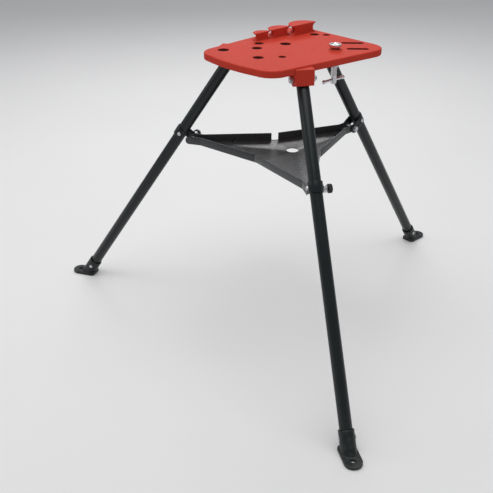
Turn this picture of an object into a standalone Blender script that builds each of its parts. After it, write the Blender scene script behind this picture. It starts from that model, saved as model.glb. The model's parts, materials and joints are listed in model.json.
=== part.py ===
"""Folding tripod vise stand: a cast top on three folding legs, with a tray that hinges on the rear leg.

Metres, +Z up. The floor is z = 0 and the origin is under the middle of the stand's bounding box.
The single leg stands at the rear, at +Y, and the pair of legs stands at the front, at -Y.
"""

import math

import bmesh
import bpy
from mathutils import Matrix, Vector

for old in list(bpy.data.objects):
    bpy.data.objects.remove(old, do_unlink=True)

# Clearances
GAP = 0.0003
SIDE_GAP = 0.0008
BOLT_PLAY = 0.0004

# Bench top
TOP_HEIGHT = 0.800
DECK_THICKNESS = 0.009
SKIRT_DEPTH = 0.018
SKIRT_WALL = 0.007
PLATE_FRONT_WIDTH = 0.276
PLATE_REAR_WIDTH = 0.350
PLATE_FRONT_REACH = 0.185
PLATE_REAR_REACH = 0.215
PLATE_NOSE = 0.020
PLATE_NOSE_RADIUS = 0.400
PLATE_CORNER = 0.050
RIB_THICKNESS = 0.006
RIB_DEPTH = 0.016
RIB_LEFT_X = -0.022
RIB_RIGHT_X = 0.032
RIB_FRONT_Y = -0.029
RIB_REAR_Y = 0.075

# Holes in the deck: x, y and diameter, measured from the middle of the tripod
TOOL_HOLES = (
    (-0.105, -0.128, 0.030),
    (-0.094, -0.011, 0.026),
    (-0.060, -0.050, 0.028),
    (0.012, -0.112, 0.028),
    (0.048, -0.062, 0.020),
    (-0.042, 0.038, 0.030),
    (-0.064, 0.174, 0.026),
    (-0.037, 0.194, 0.020),
)
# Slots in the deck: both ends, then the width
SLOT_WIDTH = 0.018
TOOL_SLOTS = (
    (0.058, 0.163, 0.088, 0.194),
    (0.110, 0.126, 0.138, 0.156),
)
# Pipe-bending formers: x, y, former radius and pipe diameter
FORMERS = (
    (-0.086, 0.156, 0.046, 0.022),
    (-0.106, 0.082, 0.036, 0.018),
    (-0.112, 0.020, 0.027, 0.015),
)
FORMER_LIP = 0.003

# Legs
LEG_LEAN = math.radians(34.0)
PIVOT_RADIUS = 0.154
PIVOT_DROP = 0.036
TUBE_DIAMETER = 0.032
TUBE_WALL = 0.0025
TUBE_HEAD = 0.012
PLUG_DEPTH = 0.003
PLUG_CAP = 0.003

# Sockets of the casting that hold the legs
SOCKET_CHEEK = 0.007
SOCKET_RADIUS = 0.018
SOCKET_STOP_LENGTH = 0.022
SOCKET_STOP_WALL = 0.006

# Pivot bolts
PIVOT_BOLT = 0.010
PIVOT_BOLT_FLATS = 0.017
PIVOT_HEAD_HEIGHT = 0.0064
PIVOT_NUT_HEIGHT = 0.009
PIVOT_WASHER = 0.021
PIVOT_WASHER_THICKNESS = 0.002
PIVOT_BUSH = 0.016
BOLT_TAIL = 0.003

# Feet
FOOT_WIDTH = 0.046
FOOT_THICKNESS = 0.009
FOOT_TOE = 0.027
FOOT_HEEL = 0.031
FOOT_HOLE = 0.012
FOOT_SOCKET_WALL = 0.0035
FOOT_SOCKET_LENGTH = 0.062
TUBE_STOP = 0.022
FOOT_PIN = 0.006
FOOT_PIN_HEIGHT = 0.042
RIVET_HEAD = 0.011
RIVET_HEAD_HEIGHT = 0.0022

# Tray
TRAY_PIN_HEIGHT = 0.518
TRAY_RIM = 0.024
TRAY_SHEET = 0.002
TRAY_APEX = 0.105
TRAY_NECK = 0.034
TRAY_RELIEF = 0.020
TRAY_FLOOR_SHORT = 0.004
TRAY_HOLE = 0.034
TRAY_HOLE_Y = 0.034

# Brackets that carry the tray on the legs
BRACKET_OFFSET = 0.034
BRACKET_SHEET = 0.003
BRACKET_HEIGHT = 0.028
BRACKET_BOLT = 0.006
BRACKET_BOLT_FLATS = 0.010
BRACKET_HEAD_HEIGHT = 0.004
BRACKET_NUT_HEIGHT = 0.006

# Tray hinge bolt and the pull pins
TRAY_PIN = 0.008
HINGE_FLATS = 0.013
HINGE_HEAD_HEIGHT = 0.0053
HINGE_NUT_HEIGHT = 0.008
HINGE_WASHER = 0.016
HINGE_WASHER_THICKNESS = 0.0016
HINGE_SPACER = 0.014
PIN_REACH = 0.007
PIN_TRAVEL = 0.008
PIN_COLLAR = 0.002
HOUSING_DIAMETER = 0.019
HOUSING_WALL = 0.003
HOUSING_END = 0.0025
SPRING_ROOM = 0.006
SPRING_WIRE = 0.001
SPRING_TURNS = 4
KNOB_DIAMETER = 0.024
KNOB_LENGTH = 0.012
KNOB_SKIN = 0.003

# Ceiling-brace screw
BRACE_X = 0.090
BRACE_Y = 0.090
BRACE_SCREW = 0.016
BRACE_NECK = 0.010
BRACE_TAIL = 0.090
BRACE_BOSS = 0.036
BRACE_BOSS_DEPTH = 0.036
BRACE_SEAT = 0.002
BRACE_SEAT_RIM = 0.002
BRACE_CUP = 0.032
BRACE_CUP_HEIGHT = 0.012
BRACE_CUP_DISH = 0.003
BRACE_NUT_FLATS = 0.024
BRACE_NUT_HEIGHT = 0.008
BRACE_BAR = 0.008
BRACE_BAR_LENGTH = 0.084
BRACE_BAR_RISE = 0.010

# Sides of the round pieces
SIDES_LARGE = 28
SIDES_SMALL = 16

# Places worked out from the sizes above
TUBE_RADIUS = TUBE_DIAMETER / 2
PIVOT_HEIGHT = TOP_HEIGHT - PIVOT_DROP
LEG_LENGTH = PIVOT_HEIGHT / math.cos(LEG_LEAN)
FOOT_OUT = PIVOT_HEIGHT * math.tan(LEG_LEAN)
TOE_RADIUS = PIVOT_RADIUS + FOOT_OUT + FOOT_TOE
STAND_Y = -TOE_RADIUS / 4
SOCKET_HALF = TUBE_RADIUS + SIDE_GAP
CHEEK_FACE = SOCKET_HALF + SOCKET_CHEEK
BRACKET_INNER = TUBE_RADIUS + GAP
BRACKET_OUTER = BRACKET_INNER + BRACKET_SHEET
ARM_HALF = BRACKET_INNER - SIDE_GAP
PIN_DOWN_LEG = (
    PIVOT_HEIGHT - TRAY_PIN_HEIGHT - BRACKET_OFFSET * math.sin(LEG_LEAN)
) / math.cos(LEG_LEAN)
TRAY_PIN_RADIUS = (
    PIVOT_RADIUS + PIN_DOWN_LEG * math.sin(LEG_LEAN) - BRACKET_OFFSET * math.cos(LEG_LEAN)
)

# Name, direction in plan, and the side of the leg that faces away from the front centre
LEGS = (
    ("front_left", math.radians(210.0), -1),
    ("front_right", math.radians(330.0), 1),
    ("rear", math.radians(90.0), 1),
)


# Outlines are lists of (a, b) points in order round the shape


def circle(radius, at=(0.0, 0.0), sides=SIDES_LARGE, turn=0.0):
    angles = [turn + 2 * math.pi * i / sides for i in range(sides)]
    return [(at[0] + radius * math.cos(a), at[1] + radius * math.sin(a)) for a in angles]


def arc(radius, start, stop, steps, at=(0.0, 0.0)):
    angles = [start + (stop - start) * i / steps for i in range(steps + 1)]
    return [(at[0] + radius * math.cos(a), at[1] + radius * math.sin(a)) for a in angles]


def hexagon(flats):
    return circle(flats / math.sqrt(3), sides=6)


def rectangle(low_a, high_a, low_b, high_b):
    return [(low_a, low_b), (high_a, low_b), (high_a, high_b), (low_a, high_b)]


def rounded(corners, steps):
    """Rounds each (a, b, radius) corner of a convex outline that runs anticlockwise."""
    points = []
    for i, (a, b, radius) in enumerate(corners):
        here = Vector((a, b))
        back = (Vector(corners[i - 1][:2]) - here).normalized()
        ahead = (Vector(corners[(i + 1) % len(corners)][:2]) - here).normalized()
        half = back.angle(ahead) / 2
        middle = here + (back + ahead).normalized() * (radius / math.sin(half))
        first = math.atan2(*reversed(here + back * (radius / math.tan(half)) - middle))
        turn = math.pi - 2 * half
        points += arc(radius, first, first + turn, steps, middle)
    return points


def inset(outline, distances):
    """Moves each edge of an anticlockwise outline inward by its own distance."""
    count = len(outline)
    lines = []
    for i in range(count):
        start = Vector(outline[i])
        along = (Vector(outline[(i + 1) % count]) - start).normalized()
        inward = Vector((-along.y, along.x))
        lines.append((start + inward * distances[i], along))
    points = []
    for i in range(count):
        (p, d), (q, e) = lines[i - 1], lines[i]
        cross = d.x * e.y - d.y * e.x
        reach = ((q.x - p.x) * e.y - (q.y - p.y) * e.x) / cross
        points.append(tuple(p + d * reach))
    return points


# Shapes are unplaced mesh objects at the origin


def shape(bm, place=None):
    bmesh.ops.recalc_face_normals(bm, faces=bm.faces)
    mesh = bpy.data.meshes.new("shape")
    bm.to_mesh(mesh)
    bm.free()
    if place is not None:
        mesh.transform(place)
    made = bpy.data.objects.new("shape", mesh)
    bpy.context.scene.collection.objects.link(made)
    return made


def prism(outline, low, high, along="z", place=None):
    """Sweeps an outline along one axis. The outline lies in the other two, in the order x, y, z."""
    spots = {
        "z": lambda a, b, c: (a, b, c),
        "y": lambda a, b, c: (a, c, b),
        "x": lambda a, b, c: (c, a, b),
    }
    spot = spots[along]
    bm = bmesh.new()
    lower = [bm.verts.new(spot(a, b, low)) for a, b in outline]
    upper = [bm.verts.new(spot(a, b, high)) for a, b in outline]
    bm.faces.new(lower)
    bm.faces.new(upper)
    for i in range(len(outline)):
        bm.faces.new((lower[i - 1], lower[i], upper[i], upper[i - 1]))
    return shape(bm, place)


def lathe(profile, sides=SIDES_SMALL, sweep=2 * math.pi, place=None):
    """Spins a (radius, height) outline round Z. A part turn is closed by its two end faces."""
    bm = bmesh.new()
    whole = abs(sweep - 2 * math.pi) < 1e-9
    turns = sides if whole else sides + 1
    rings = []
    for radius, height in profile:
        spots = 1 if radius == 0 else turns
        angles = [sweep * i / sides for i in range(spots)]
        rings.append(
            [bm.verts.new((radius * math.cos(a), radius * math.sin(a), height)) for a in angles]
        )
    for k, ring in enumerate(rings):
        before = rings[k - 1]
        for i in range(sides):
            j = (i + 1) % turns
            corners = [before[i % len(before)], before[j % len(before)]]
            corners += [ring[j % len(ring)], ring[i % len(ring)]]
            corners = list(dict.fromkeys(corners))
            if len(corners) > 2:
                bm.faces.new(corners)
    if not whole:
        bm.faces.new([ring[0] for ring in rings])
        bm.faces.new([ring[-1] for ring in rings])
    return shape(bm, place)


def boolean(base, tool, operation):
    change = base.modifiers.new("boolean", "BOOLEAN")
    change.operation = operation
    change.solver = "EXACT"
    change.object = tool
    bpy.context.view_layer.update()
    seen = base.evaluated_get(bpy.context.evaluated_depsgraph_get())
    made = bpy.data.meshes.new_from_object(seen)
    base.modifiers.clear()
    base.data = made
    bpy.data.objects.remove(tool, do_unlink=True)
    return base


def join(base, *tools):
    for tool in tools:
        base = boolean(base, tool, "UNION")
    return base


def cut(base, *tools):
    for tool in tools:
        base = boolean(base, tool, "DIFFERENCE")
    return base


def common(base, tool):
    return boolean(base, tool, "INTERSECT")


def paint(name, colour, roughness, metallic):
    made = bpy.data.materials.new(name)
    made.use_nodes = True
    surface = made.node_tree.nodes["Principled BSDF"]
    surface.inputs["Base Color"].default_value = (*colour, 1.0)
    surface.inputs["Roughness"].default_value = roughness
    surface.inputs["Metallic"].default_value = metallic
    return made


LOOKS = {
    "red": ((0.52, 0.045, 0.03), 0.38, 0.0),
    "black": ((0.012, 0.014, 0.015), 0.42, 0.0),
    "tray": ((0.03, 0.033, 0.035), 0.36, 0.0),
    "zinc": ((0.55, 0.56, 0.57), 0.32, 1.0),
    "bright": ((0.75, 0.76, 0.77), 0.14, 1.0),
    "plastic": ((0.015, 0.015, 0.016), 0.5, 0.0),
}


def node(name, made, look, parent):
    """Names a finished shape, gives it its own material and hangs it on its axis."""
    bm = bmesh.new()
    bm.from_mesh(made.data)
    bmesh.ops.remove_doubles(bm, verts=bm.verts, dist=1e-6)
    bmesh.ops.dissolve_degenerate(bm, edges=bm.edges, dist=1e-6)
    bm.to_mesh(made.data)
    bm.free()
    made.name = name
    made.data.name = name
    made.data.materials.clear()
    made.data.materials.append(paint(name, *LOOKS[look]))
    made.data.shade_smooth()
    made.data.set_sharp_from_angle(angle=math.radians(35.0))
    made.parent = parent
    return made


def axis(name, place, parent=None):
    made = bpy.data.objects.new(name, None)
    made.empty_display_size = 0.05
    bpy.context.scene.collection.objects.link(made)
    made.parent = parent
    made.matrix_local = place
    return made


def along_y(side=1):
    """Turns a shape made along Z so that it runs along Y, outward on the given side."""
    return Matrix.Rotation(-side * math.pi / 2, 4, "X")


def bolt(diameter, length, flats, head_height, place):
    """A hexagon bolt along Z: the head's seat is at 0, the head is below and the shank above."""
    shank = prism(circle(diameter / 2, sides=SIDES_SMALL), -head_height / 2, length)
    made = join(prism(hexagon(flats), -head_height, 0.0), shank)
    made.data.transform(place)
    return made


def ring(outer, inner, low, high, place=None, sides=SIDES_SMALL):
    profile = [(inner, low), (outer, low), (outer, high), (inner, high)]
    return lathe(profile, sides, place=place)


def nut(flats, bore, low, high, place):
    made = cut(
        prism(hexagon(flats), low, high),
        prism(circle(bore, sides=SIDES_SMALL), low - 0.01, high + 0.01),
    )
    made.data.transform(place)
    return made


# Bench top: deck, skirt, ribs, sockets, formers and brace boss in one casting

plate = rounded(
    [
        (0.0, -PLATE_FRONT_REACH - PLATE_NOSE, PLATE_NOSE_RADIUS),
        (PLATE_FRONT_WIDTH / 2, -PLATE_FRONT_REACH, PLATE_CORNER),
        (PLATE_REAR_WIDTH / 2, PLATE_REAR_REACH, PLATE_CORNER),
        (-PLATE_REAR_WIDTH / 2, PLATE_REAR_REACH, PLATE_CORNER),
        (-PLATE_FRONT_WIDTH / 2, -PLATE_FRONT_REACH, PLATE_CORNER),
    ],
    8,
)
hollow = inset(plate, [SKIRT_WALL] * len(plate))
top = cut(
    prism(plate, -SKIRT_DEPTH, 0.0),
    prism(hollow, -SKIRT_DEPTH - 0.01, -DECK_THICKNESS),
)

upright = TUBE_RADIUS + SIDE_GAP
stop_u = (TUBE_RADIUS + GAP) * math.cos(LEG_LEAN)
stop_z = (TUBE_RADIUS + GAP) * math.sin(LEG_LEAN)


def stop_point(down):
    """A point on the face that the leg leans on, at this distance down the leg from its pivot."""
    return stop_u + down * math.sin(LEG_LEAN), stop_z - down * math.cos(LEG_LEAN)


stop_end = stop_point(SOCKET_STOP_LENGTH)
socket_out = stop_end[0] + SOCKET_STOP_WALL
socket_top = PIVOT_DROP - DECK_THICKNESS / 2
pocket_top = PIVOT_DROP - DECK_THICKNESS - 0.0006
bend = stop_point((upright - stop_u) / math.sin(LEG_LEAN))
socket = arc(SOCKET_RADIUS, math.pi, 1.65 * math.pi, 10)
socket += [(socket_out, stop_end[1]), (socket_out, socket_top), (-SOCKET_RADIUS, socket_top)]
below = stop_point(SOCKET_STOP_LENGTH + 0.05)
far_in = -SOCKET_RADIUS - TUBE_DIAMETER
pocket = [(far_in, below[1]), below, bend, (upright, pocket_top), (far_in, pocket_top)]


def socket_place(turn):
    """Where a socket stands in the casting: u outward, y across, z up, from the pivot."""
    at = (PIVOT_RADIUS * math.cos(turn), PIVOT_RADIUS * math.sin(turn), -PIVOT_DROP)
    return Matrix.Translation(at) @ Matrix.Rotation(turn, 4, "Z")


for _, turn, _ in LEGS:
    place = socket_place(turn)
    top = join(top, prism(socket, -CHEEK_FACE, CHEEK_FACE, "y", place))
    top = cut(top, prism(pocket, -SOCKET_HALF, SOCKET_HALF, "y", place))

half_rib = RIB_THICKNESS / 2
rib_low, rib_high = -RIB_DEPTH, -DECK_THICKNESS / 2
mid_front = PLATE_FRONT_REACH - SKIRT_WALL / 2
for x in (RIB_LEFT_X, RIB_RIGHT_X):
    long_rib = rectangle(x - half_rib, x + half_rib, -mid_front, RIB_REAR_Y)
    top = join(top, prism(long_rib, rib_low, rib_high))
slope = (PLATE_REAR_WIDTH - PLATE_FRONT_WIDTH) / 2 / (PLATE_FRONT_REACH + PLATE_REAR_REACH)
for y in (RIB_FRONT_Y, RIB_REAR_Y):
    reach = PLATE_FRONT_WIDTH / 2 + slope * (y + PLATE_FRONT_REACH) - SKIRT_WALL / 2
    cross_rib = rectangle(-reach, reach, y - half_rib, y + half_rib)
    top = join(top, prism(cross_rib, rib_low - 0.001, rib_high + 0.001))
boss = circle(BRACE_BOSS / 2, (BRACE_X, BRACE_Y), SIDES_SMALL)
top = join(top, prism(boss, -BRACE_BOSS_DEPTH, rib_high + 0.002))
cup_seat = circle(BRACE_CUP / 2 + BRACE_SEAT_RIM, (BRACE_X, BRACE_Y), 24)
top = join(top, prism(cup_seat, rib_high, BRACE_SEAT))

for x, y, radius, pipe in FORMERS:
    middle = FORMER_LIP + pipe / 2
    groove = [
        (radius - math.cos(a) * pipe / 2, middle + math.sin(a) * pipe / 2)
        for a in [-math.pi / 2 + math.pi * i / 8 for i in range(9)]
    ]
    outline = [(0.0, -DECK_THICKNESS / 2), (radius, -DECK_THICKNESS / 2), *groove]
    outline += [(radius, pipe + 2 * FORMER_LIP), (0.0, pipe + 2 * FORMER_LIP)]
    place = Matrix.Translation((x, y, 0.0)) @ Matrix.Rotation(math.pi / 2, 4, "Z")
    top = join(top, lathe(outline, 12, math.pi, place))

through = -DECK_THICKNESS * 3, DECK_THICKNESS
for x, y, width in TOOL_HOLES:
    top = cut(top, prism(circle(width / 2, (x, y), SIDES_SMALL), *through))
for x0, y0, x1, y1 in TOOL_SLOTS:
    heading = math.atan2(y1 - y0, x1 - x0)
    slot = arc(SLOT_WIDTH / 2, heading - math.pi / 2, heading + math.pi / 2, 8, (x1, y1))
    slot += arc(SLOT_WIDTH / 2, heading + math.pi / 2, heading + 1.5 * math.pi, 8, (x0, y0))
    top = cut(top, prism(slot, *through))
screw_hole = circle(BRACE_SCREW / 2 + BOLT_PLAY, (BRACE_X, BRACE_Y), SIDES_SMALL)
top = cut(top, prism(screw_hole, -BRACE_BOSS_DEPTH - 0.01, 0.01))
for _, turn, _ in LEGS:
    pivot_hole = circle(PIVOT_BOLT / 2 + BOLT_PLAY, sides=SIDES_SMALL)
    top = cut(top, prism(pivot_hole, -2 * CHEEK_FACE, 2 * CHEEK_FACE, "y", socket_place(turn)))

top_axis = axis("top_axis", Matrix.Translation((0.0, STAND_Y, TOP_HEIGHT)))
node("bench_top", top, "red", top_axis)

# Pivot bolts, with their washers and lock nuts

washer_face = CHEEK_FACE + GAP
washer_back = washer_face + PIVOT_WASHER_THICKNESS
seat = washer_back + GAP
bore = PIVOT_BOLT / 2 + GAP
for name, turn, side in LEGS:
    place = socket_place(turn)
    outward = place @ along_y(side)
    head_seat = outward @ Matrix.Translation((0.0, 0.0, -seat))
    length = 2 * seat + PIVOT_NUT_HEIGHT + BOLT_TAIL
    made = bolt(PIVOT_BOLT, length, PIVOT_BOLT_FLATS, PIVOT_HEAD_HEIGHT, head_seat)
    node("pivot_bolt_" + name, made, "zinc", top_axis)
    made = nut(PIVOT_BOLT_FLATS, bore, seat, seat + PIVOT_NUT_HEIGHT, outward)
    node("pivot_nut_" + name, made, "zinc", top_axis)
    for end, flip in (("nut", side), ("head", -side)):
        made = ring(PIVOT_WASHER / 2, bore, washer_face, washer_back, place @ along_y(flip))
        node(f"pivot_{end}_washer_{name}", made, "zinc", top_axis)

# Legs: each is made about its pivot, with Z up along the leg, X outward and Y across

to_leg = Matrix.Rotation(LEG_LEAN, 4, "Y")
tube_end = -(LEG_LENGTH - TUBE_STOP)
pin_z = -PIN_DOWN_LEG
foot_pin_z = -(LEG_LENGTH - FOOT_PIN_HEIGHT)
bush_hole = circle(PIVOT_BUSH / 2 + GAP, sides=SIDES_SMALL)
bracket_hole = circle(BRACKET_BOLT / 2 + GAP, (0.0, pin_z), 16)
rivet_hole = circle(FOOT_PIN / 2 + GAP, (0.0, foot_pin_z), 16)
tube_bore = TUBE_RADIUS - TUBE_WALL
leg_axes = {}
for name, turn, side in LEGS:
    at = (
        PIVOT_RADIUS * math.cos(turn),
        STAND_Y + PIVOT_RADIUS * math.sin(turn),
        PIVOT_HEIGHT,
    )
    lean = Matrix.Rotation(turn, 4, "Z") @ Matrix.Rotation(-LEG_LEAN, 4, "Y")
    leg = axis("leg_axis_" + name, Matrix.Translation(at) @ lean)
    leg_axes[name] = leg

    tube = ring(TUBE_RADIUS, tube_bore, tube_end, TUBE_HEAD, sides=SIDES_LARGE)
    for hole in (bush_hole, bracket_hole, rivet_hole):
        tube = cut(tube, prism(hole, -TUBE_DIAMETER, TUBE_DIAMETER, "y"))
    node("leg_tube_" + name, tube, "black", leg)

    half_bush = SOCKET_HALF - GAP
    bush = ring(PIVOT_BUSH / 2, PIVOT_BOLT / 2 + BOLT_PLAY, -half_bush, half_bush, along_y())
    node("pivot_bush_" + name, bush, "zinc", leg)

    cap = TUBE_HEAD + GAP
    plug_radius = tube_bore - GAP
    plug = [(0.0, cap - PLUG_DEPTH), (plug_radius, cap - PLUG_DEPTH), (plug_radius, cap)]
    plug += [(TUBE_RADIUS, cap), (TUBE_RADIUS, cap + PLUG_CAP / 2)]
    plug += [(TUBE_RADIUS * 0.8, cap + PLUG_CAP), (0.0, cap + PLUG_CAP)]
    node("leg_plug_" + name, lathe(plug), "plastic", leg)

    # The foot is drawn upright, with u outward from the pivot, then turned with the leg
    half = FOOT_WIDTH / 2
    pad = arc(half, -math.pi / 2, math.pi / 2, 12, (FOOT_OUT + FOOT_TOE, 0.0))
    heel = FOOT_OUT - FOOT_HEEL
    pad += [(heel + half * 0.4, half), (heel, half * 0.6)]
    pad += [(heel, -half * 0.6), (heel + half * 0.4, -half)]
    floor = -PIVOT_HEIGHT
    foot = prism(pad, floor, floor + FOOT_THICKNESS, place=to_leg)
    outer = TUBE_RADIUS + GAP + FOOT_SOCKET_WALL
    sleeve = prism(circle(outer), -LEG_LENGTH - TUBE_DIAMETER, FOOT_SOCKET_LENGTH - LEG_LENGTH)
    under = rectangle(FOOT_OUT - 0.2, FOOT_OUT + 0.2, -0.1, 0.1)
    sleeve = cut(sleeve, prism(under, floor - 0.2, floor + FOOT_THICKNESS / 3, place=to_leg))
    foot = join(foot, sleeve)
    foot = cut(foot, prism(circle(TUBE_RADIUS + GAP), tube_end - GAP, tube_end + 0.2))
    foot = cut(foot, prism(rivet_hole, -FOOT_WIDTH, FOOT_WIDTH, "y"))
    anchor = circle(FOOT_HOLE / 2, (FOOT_OUT + FOOT_TOE, 0.0), SIDES_SMALL)
    foot = cut(foot, prism(anchor, floor - 0.01, floor + 0.03, place=to_leg))
    node("foot_" + name, foot, "black", leg)

    head = outer + GAP
    shank = FOOT_PIN / 2
    tip = head + RIVET_HEAD_HEIGHT
    rivet = [(0.0, -tip), (RIVET_HEAD * 0.35, -tip), (RIVET_HEAD / 2, -head), (shank, -head)]
    rivet += [(shank, head), (RIVET_HEAD / 2, head), (RIVET_HEAD * 0.35, tip), (0.0, tip)]
    rivet_place = Matrix.Translation((0.0, 0.0, foot_pin_z)) @ along_y()
    node("foot_pin_" + name, lathe(rivet, 16, place=rivet_place), "zinc", leg)

    # The bracket wraps the outer side of the tube. The rear one has a cheek on both sides
    ear = BRACKET_HEIGHT / 2
    tail = -BRACKET_OFFSET
    short = -TUBE_RADIUS / 3
    ends = {1: tail - ear if side > 0 else short, -1: tail - ear if side < 0 else short}
    if name == "rear":
        ends = {1: tail - ear, -1: tail - ear}
    strap = arc(BRACKET_OUTER, -math.pi / 2, math.pi / 2, 16)
    strap += [(ends[1], BRACKET_OUTER), (ends[1], BRACKET_INNER)]
    strap += arc(BRACKET_INNER, math.pi / 2, -math.pi / 2, 16)
    strap += [(ends[-1], -BRACKET_INNER), (ends[-1], -BRACKET_OUTER)]
    bracket = prism(strap, pin_z - ear - 0.01, pin_z + ear + 0.01)
    side_view = arc(ear, math.pi / 2, 1.5 * math.pi, 14, (tail, pin_z))
    side_view += [(TUBE_DIAMETER, pin_z - ear), (TUBE_DIAMETER, pin_z + ear)]
    bracket = common(bracket, prism(side_view, -TUBE_DIAMETER, TUBE_DIAMETER, "y"))
    pin_hole = circle(TRAY_PIN / 2 + BOLT_PLAY, (tail, pin_z), SIDES_SMALL)
    bracket = cut(bracket, prism(pin_hole, -TUBE_DIAMETER, TUBE_DIAMETER, "y"))
    bracket = cut(bracket, prism(bracket_hole, -TUBE_DIAMETER, TUBE_DIAMETER, "y"))
    node("tray_bracket_" + name, bracket, "black", leg)

    clamp_seat = BRACKET_OUTER + GAP
    clamp = Matrix.Translation((0.0, 0.0, pin_z)) @ along_y(side)
    length = 2 * clamp_seat + BRACKET_NUT_HEIGHT + BOLT_TAIL / 2
    clamp_head = clamp @ Matrix.Translation((0.0, 0.0, -clamp_seat))
    made = bolt(BRACKET_BOLT, length, BRACKET_BOLT_FLATS, BRACKET_HEAD_HEIGHT, clamp_head)
    node("bracket_bolt_" + name, made, "zinc", leg)
    made = nut(
        BRACKET_BOLT_FLATS,
        BRACKET_BOLT / 2 + GAP,
        clamp_seat,
        clamp_seat + BRACKET_NUT_HEIGHT,
        clamp,
    )
    node("bracket_nut_" + name, made, "zinc", leg)

# Tray: one folded sheet, drawn about its hinge at the rear leg

tray_axis = axis(
    "tray_axis", Matrix.Translation((0.0, STAND_Y + TRAY_PIN_RADIUS, TRAY_PIN_HEIGHT))
)
half_rim = TRAY_RIM / 2
arm_end = TRAY_PIN_RADIUS + half_rim
neck = TRAY_PIN_RADIUS - TRAY_NECK
outline = []
moves = []
for turn in sorted(turn for _, turn, _ in LEGS):
    spots = [(neck, -ARM_HALF), (arm_end, -ARM_HALF), (arm_end, ARM_HALF), (neck, ARM_HALF)]
    for out, across in spots:
        x = out * math.cos(turn) - across * math.sin(turn)
        y = out * math.sin(turn) + across * math.cos(turn)
        outline.append((x, y - TRAY_PIN_RADIUS))
    apex = turn + math.pi / 3
    outline.append(
        (TRAY_APEX * math.cos(apex), TRAY_APEX * math.sin(apex) - TRAY_PIN_RADIUS)
    )
    moves += [TRAY_SHEET, -0.02, TRAY_SHEET, TRAY_SHEET, TRAY_SHEET]
tray = prism(outline, -half_rim, half_rim)
tray = cut(tray, prism(inset(outline, moves), -half_rim + TRAY_SHEET, half_rim + 0.02))
for name, turn, side in LEGS:
    arm = Matrix.Translation((0.0, -TRAY_PIN_RADIUS, 0.0)) @ Matrix.Rotation(turn, 4, "Z")
    # A thread of the floor stays along each wall, where the sheet folds up
    inside = ARM_HALF - TRAY_SHEET - GAP
    short = TRAY_PIN_RADIUS - TRAY_FLOOR_SHORT
    gap = rectangle(short, arm_end + 0.02, -inside, inside)
    tray = cut(tray, prism(gap, -half_rim - 0.01, half_rim + 0.01, place=arm))
    nose = arc(half_rim, math.radians(78), math.radians(-78), 12, (TRAY_PIN_RADIUS, 0.0))
    nose += [(nose[-1][0], -2 * half_rim), (arm_end + 0.02, -2 * half_rim)]
    nose += [(arm_end + 0.02, 2 * half_rim), (nose[0][0], 2 * half_rim)]
    tray = cut(tray, prism(nose, -2 * ARM_HALF, 2 * ARM_HALF, "y", arm))
    # The rear arm is drilled on both sides for its hinge bolt, the others on the pin's side
    start = -2 * ARM_HALF if name == "rear" else 0.0
    hole = circle(TRAY_PIN / 2 + BOLT_PLAY, (TRAY_PIN_RADIUS, 0.0), SIDES_SMALL)
    drill = sorted((start, side * 2 * ARM_HALF))
    tray = cut(tray, prism(hole, drill[0], drill[1], "y", arm))
    apex = arm @ Matrix.Rotation(math.pi / 3, 4, "Z")
    relief = rectangle(TRAY_APEX - 0.05, TRAY_APEX + 0.05, -TRAY_RELIEF / 2, TRAY_RELIEF / 2)
    relief_low = -half_rim + TRAY_SHEET * 1.5
    tray = cut(tray, prism(relief, relief_low, half_rim + 0.01, place=apex))
middle = circle(TRAY_HOLE / 2, (0.0, TRAY_HOLE_Y - TRAY_PIN_RADIUS), SIDES_SMALL)
tray = cut(tray, prism(middle, -half_rim - 0.01, -half_rim + TRAY_SHEET + 0.01))
node("tray", tray, "tray", tray_axis)

inside = ARM_HALF - TRAY_SHEET - GAP
spacer_place = Matrix.Rotation(math.pi / 2, 4, "Z") @ along_y()
spacer_bore = TRAY_PIN / 2 + BOLT_PLAY
spacer = ring(HINGE_SPACER / 2, spacer_bore, -inside, inside, spacer_place)
node("tray_hinge_spacer", spacer, "zinc", tray_axis)

# Tray hinge on the rear leg

rear = leg_axes["rear"]
pin_at = Matrix.Translation((-BRACKET_OFFSET, 0.0, -PIN_DOWN_LEG))
low = BRACKET_OUTER + GAP
high = low + HINGE_WASHER_THICKNESS
hinge_seat = high + GAP
hinge = pin_at @ along_y()
length = 2 * hinge_seat + HINGE_NUT_HEIGHT + BOLT_TAIL
hinge_head = hinge @ Matrix.Translation((0.0, 0.0, -hinge_seat))
made = bolt(TRAY_PIN, length, HINGE_FLATS, HINGE_HEAD_HEIGHT, hinge_head)
node("tray_hinge_bolt", made, "zinc", rear)
hinge_bore = TRAY_PIN / 2 + GAP
made = nut(HINGE_FLATS, hinge_bore, hinge_seat, hinge_seat + HINGE_NUT_HEIGHT, hinge)
node("tray_hinge_nut", made, "zinc", rear)
for end, flip in (("nut", 1), ("head", -1)):
    made = ring(HINGE_WASHER / 2, hinge_bore, low, high, pin_at @ along_y(flip))
    node(f"tray_hinge_{end}_washer", made, "zinc", rear)

# Spring pull pins on the front legs, each made along Z from the leg's middle plane outward

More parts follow.
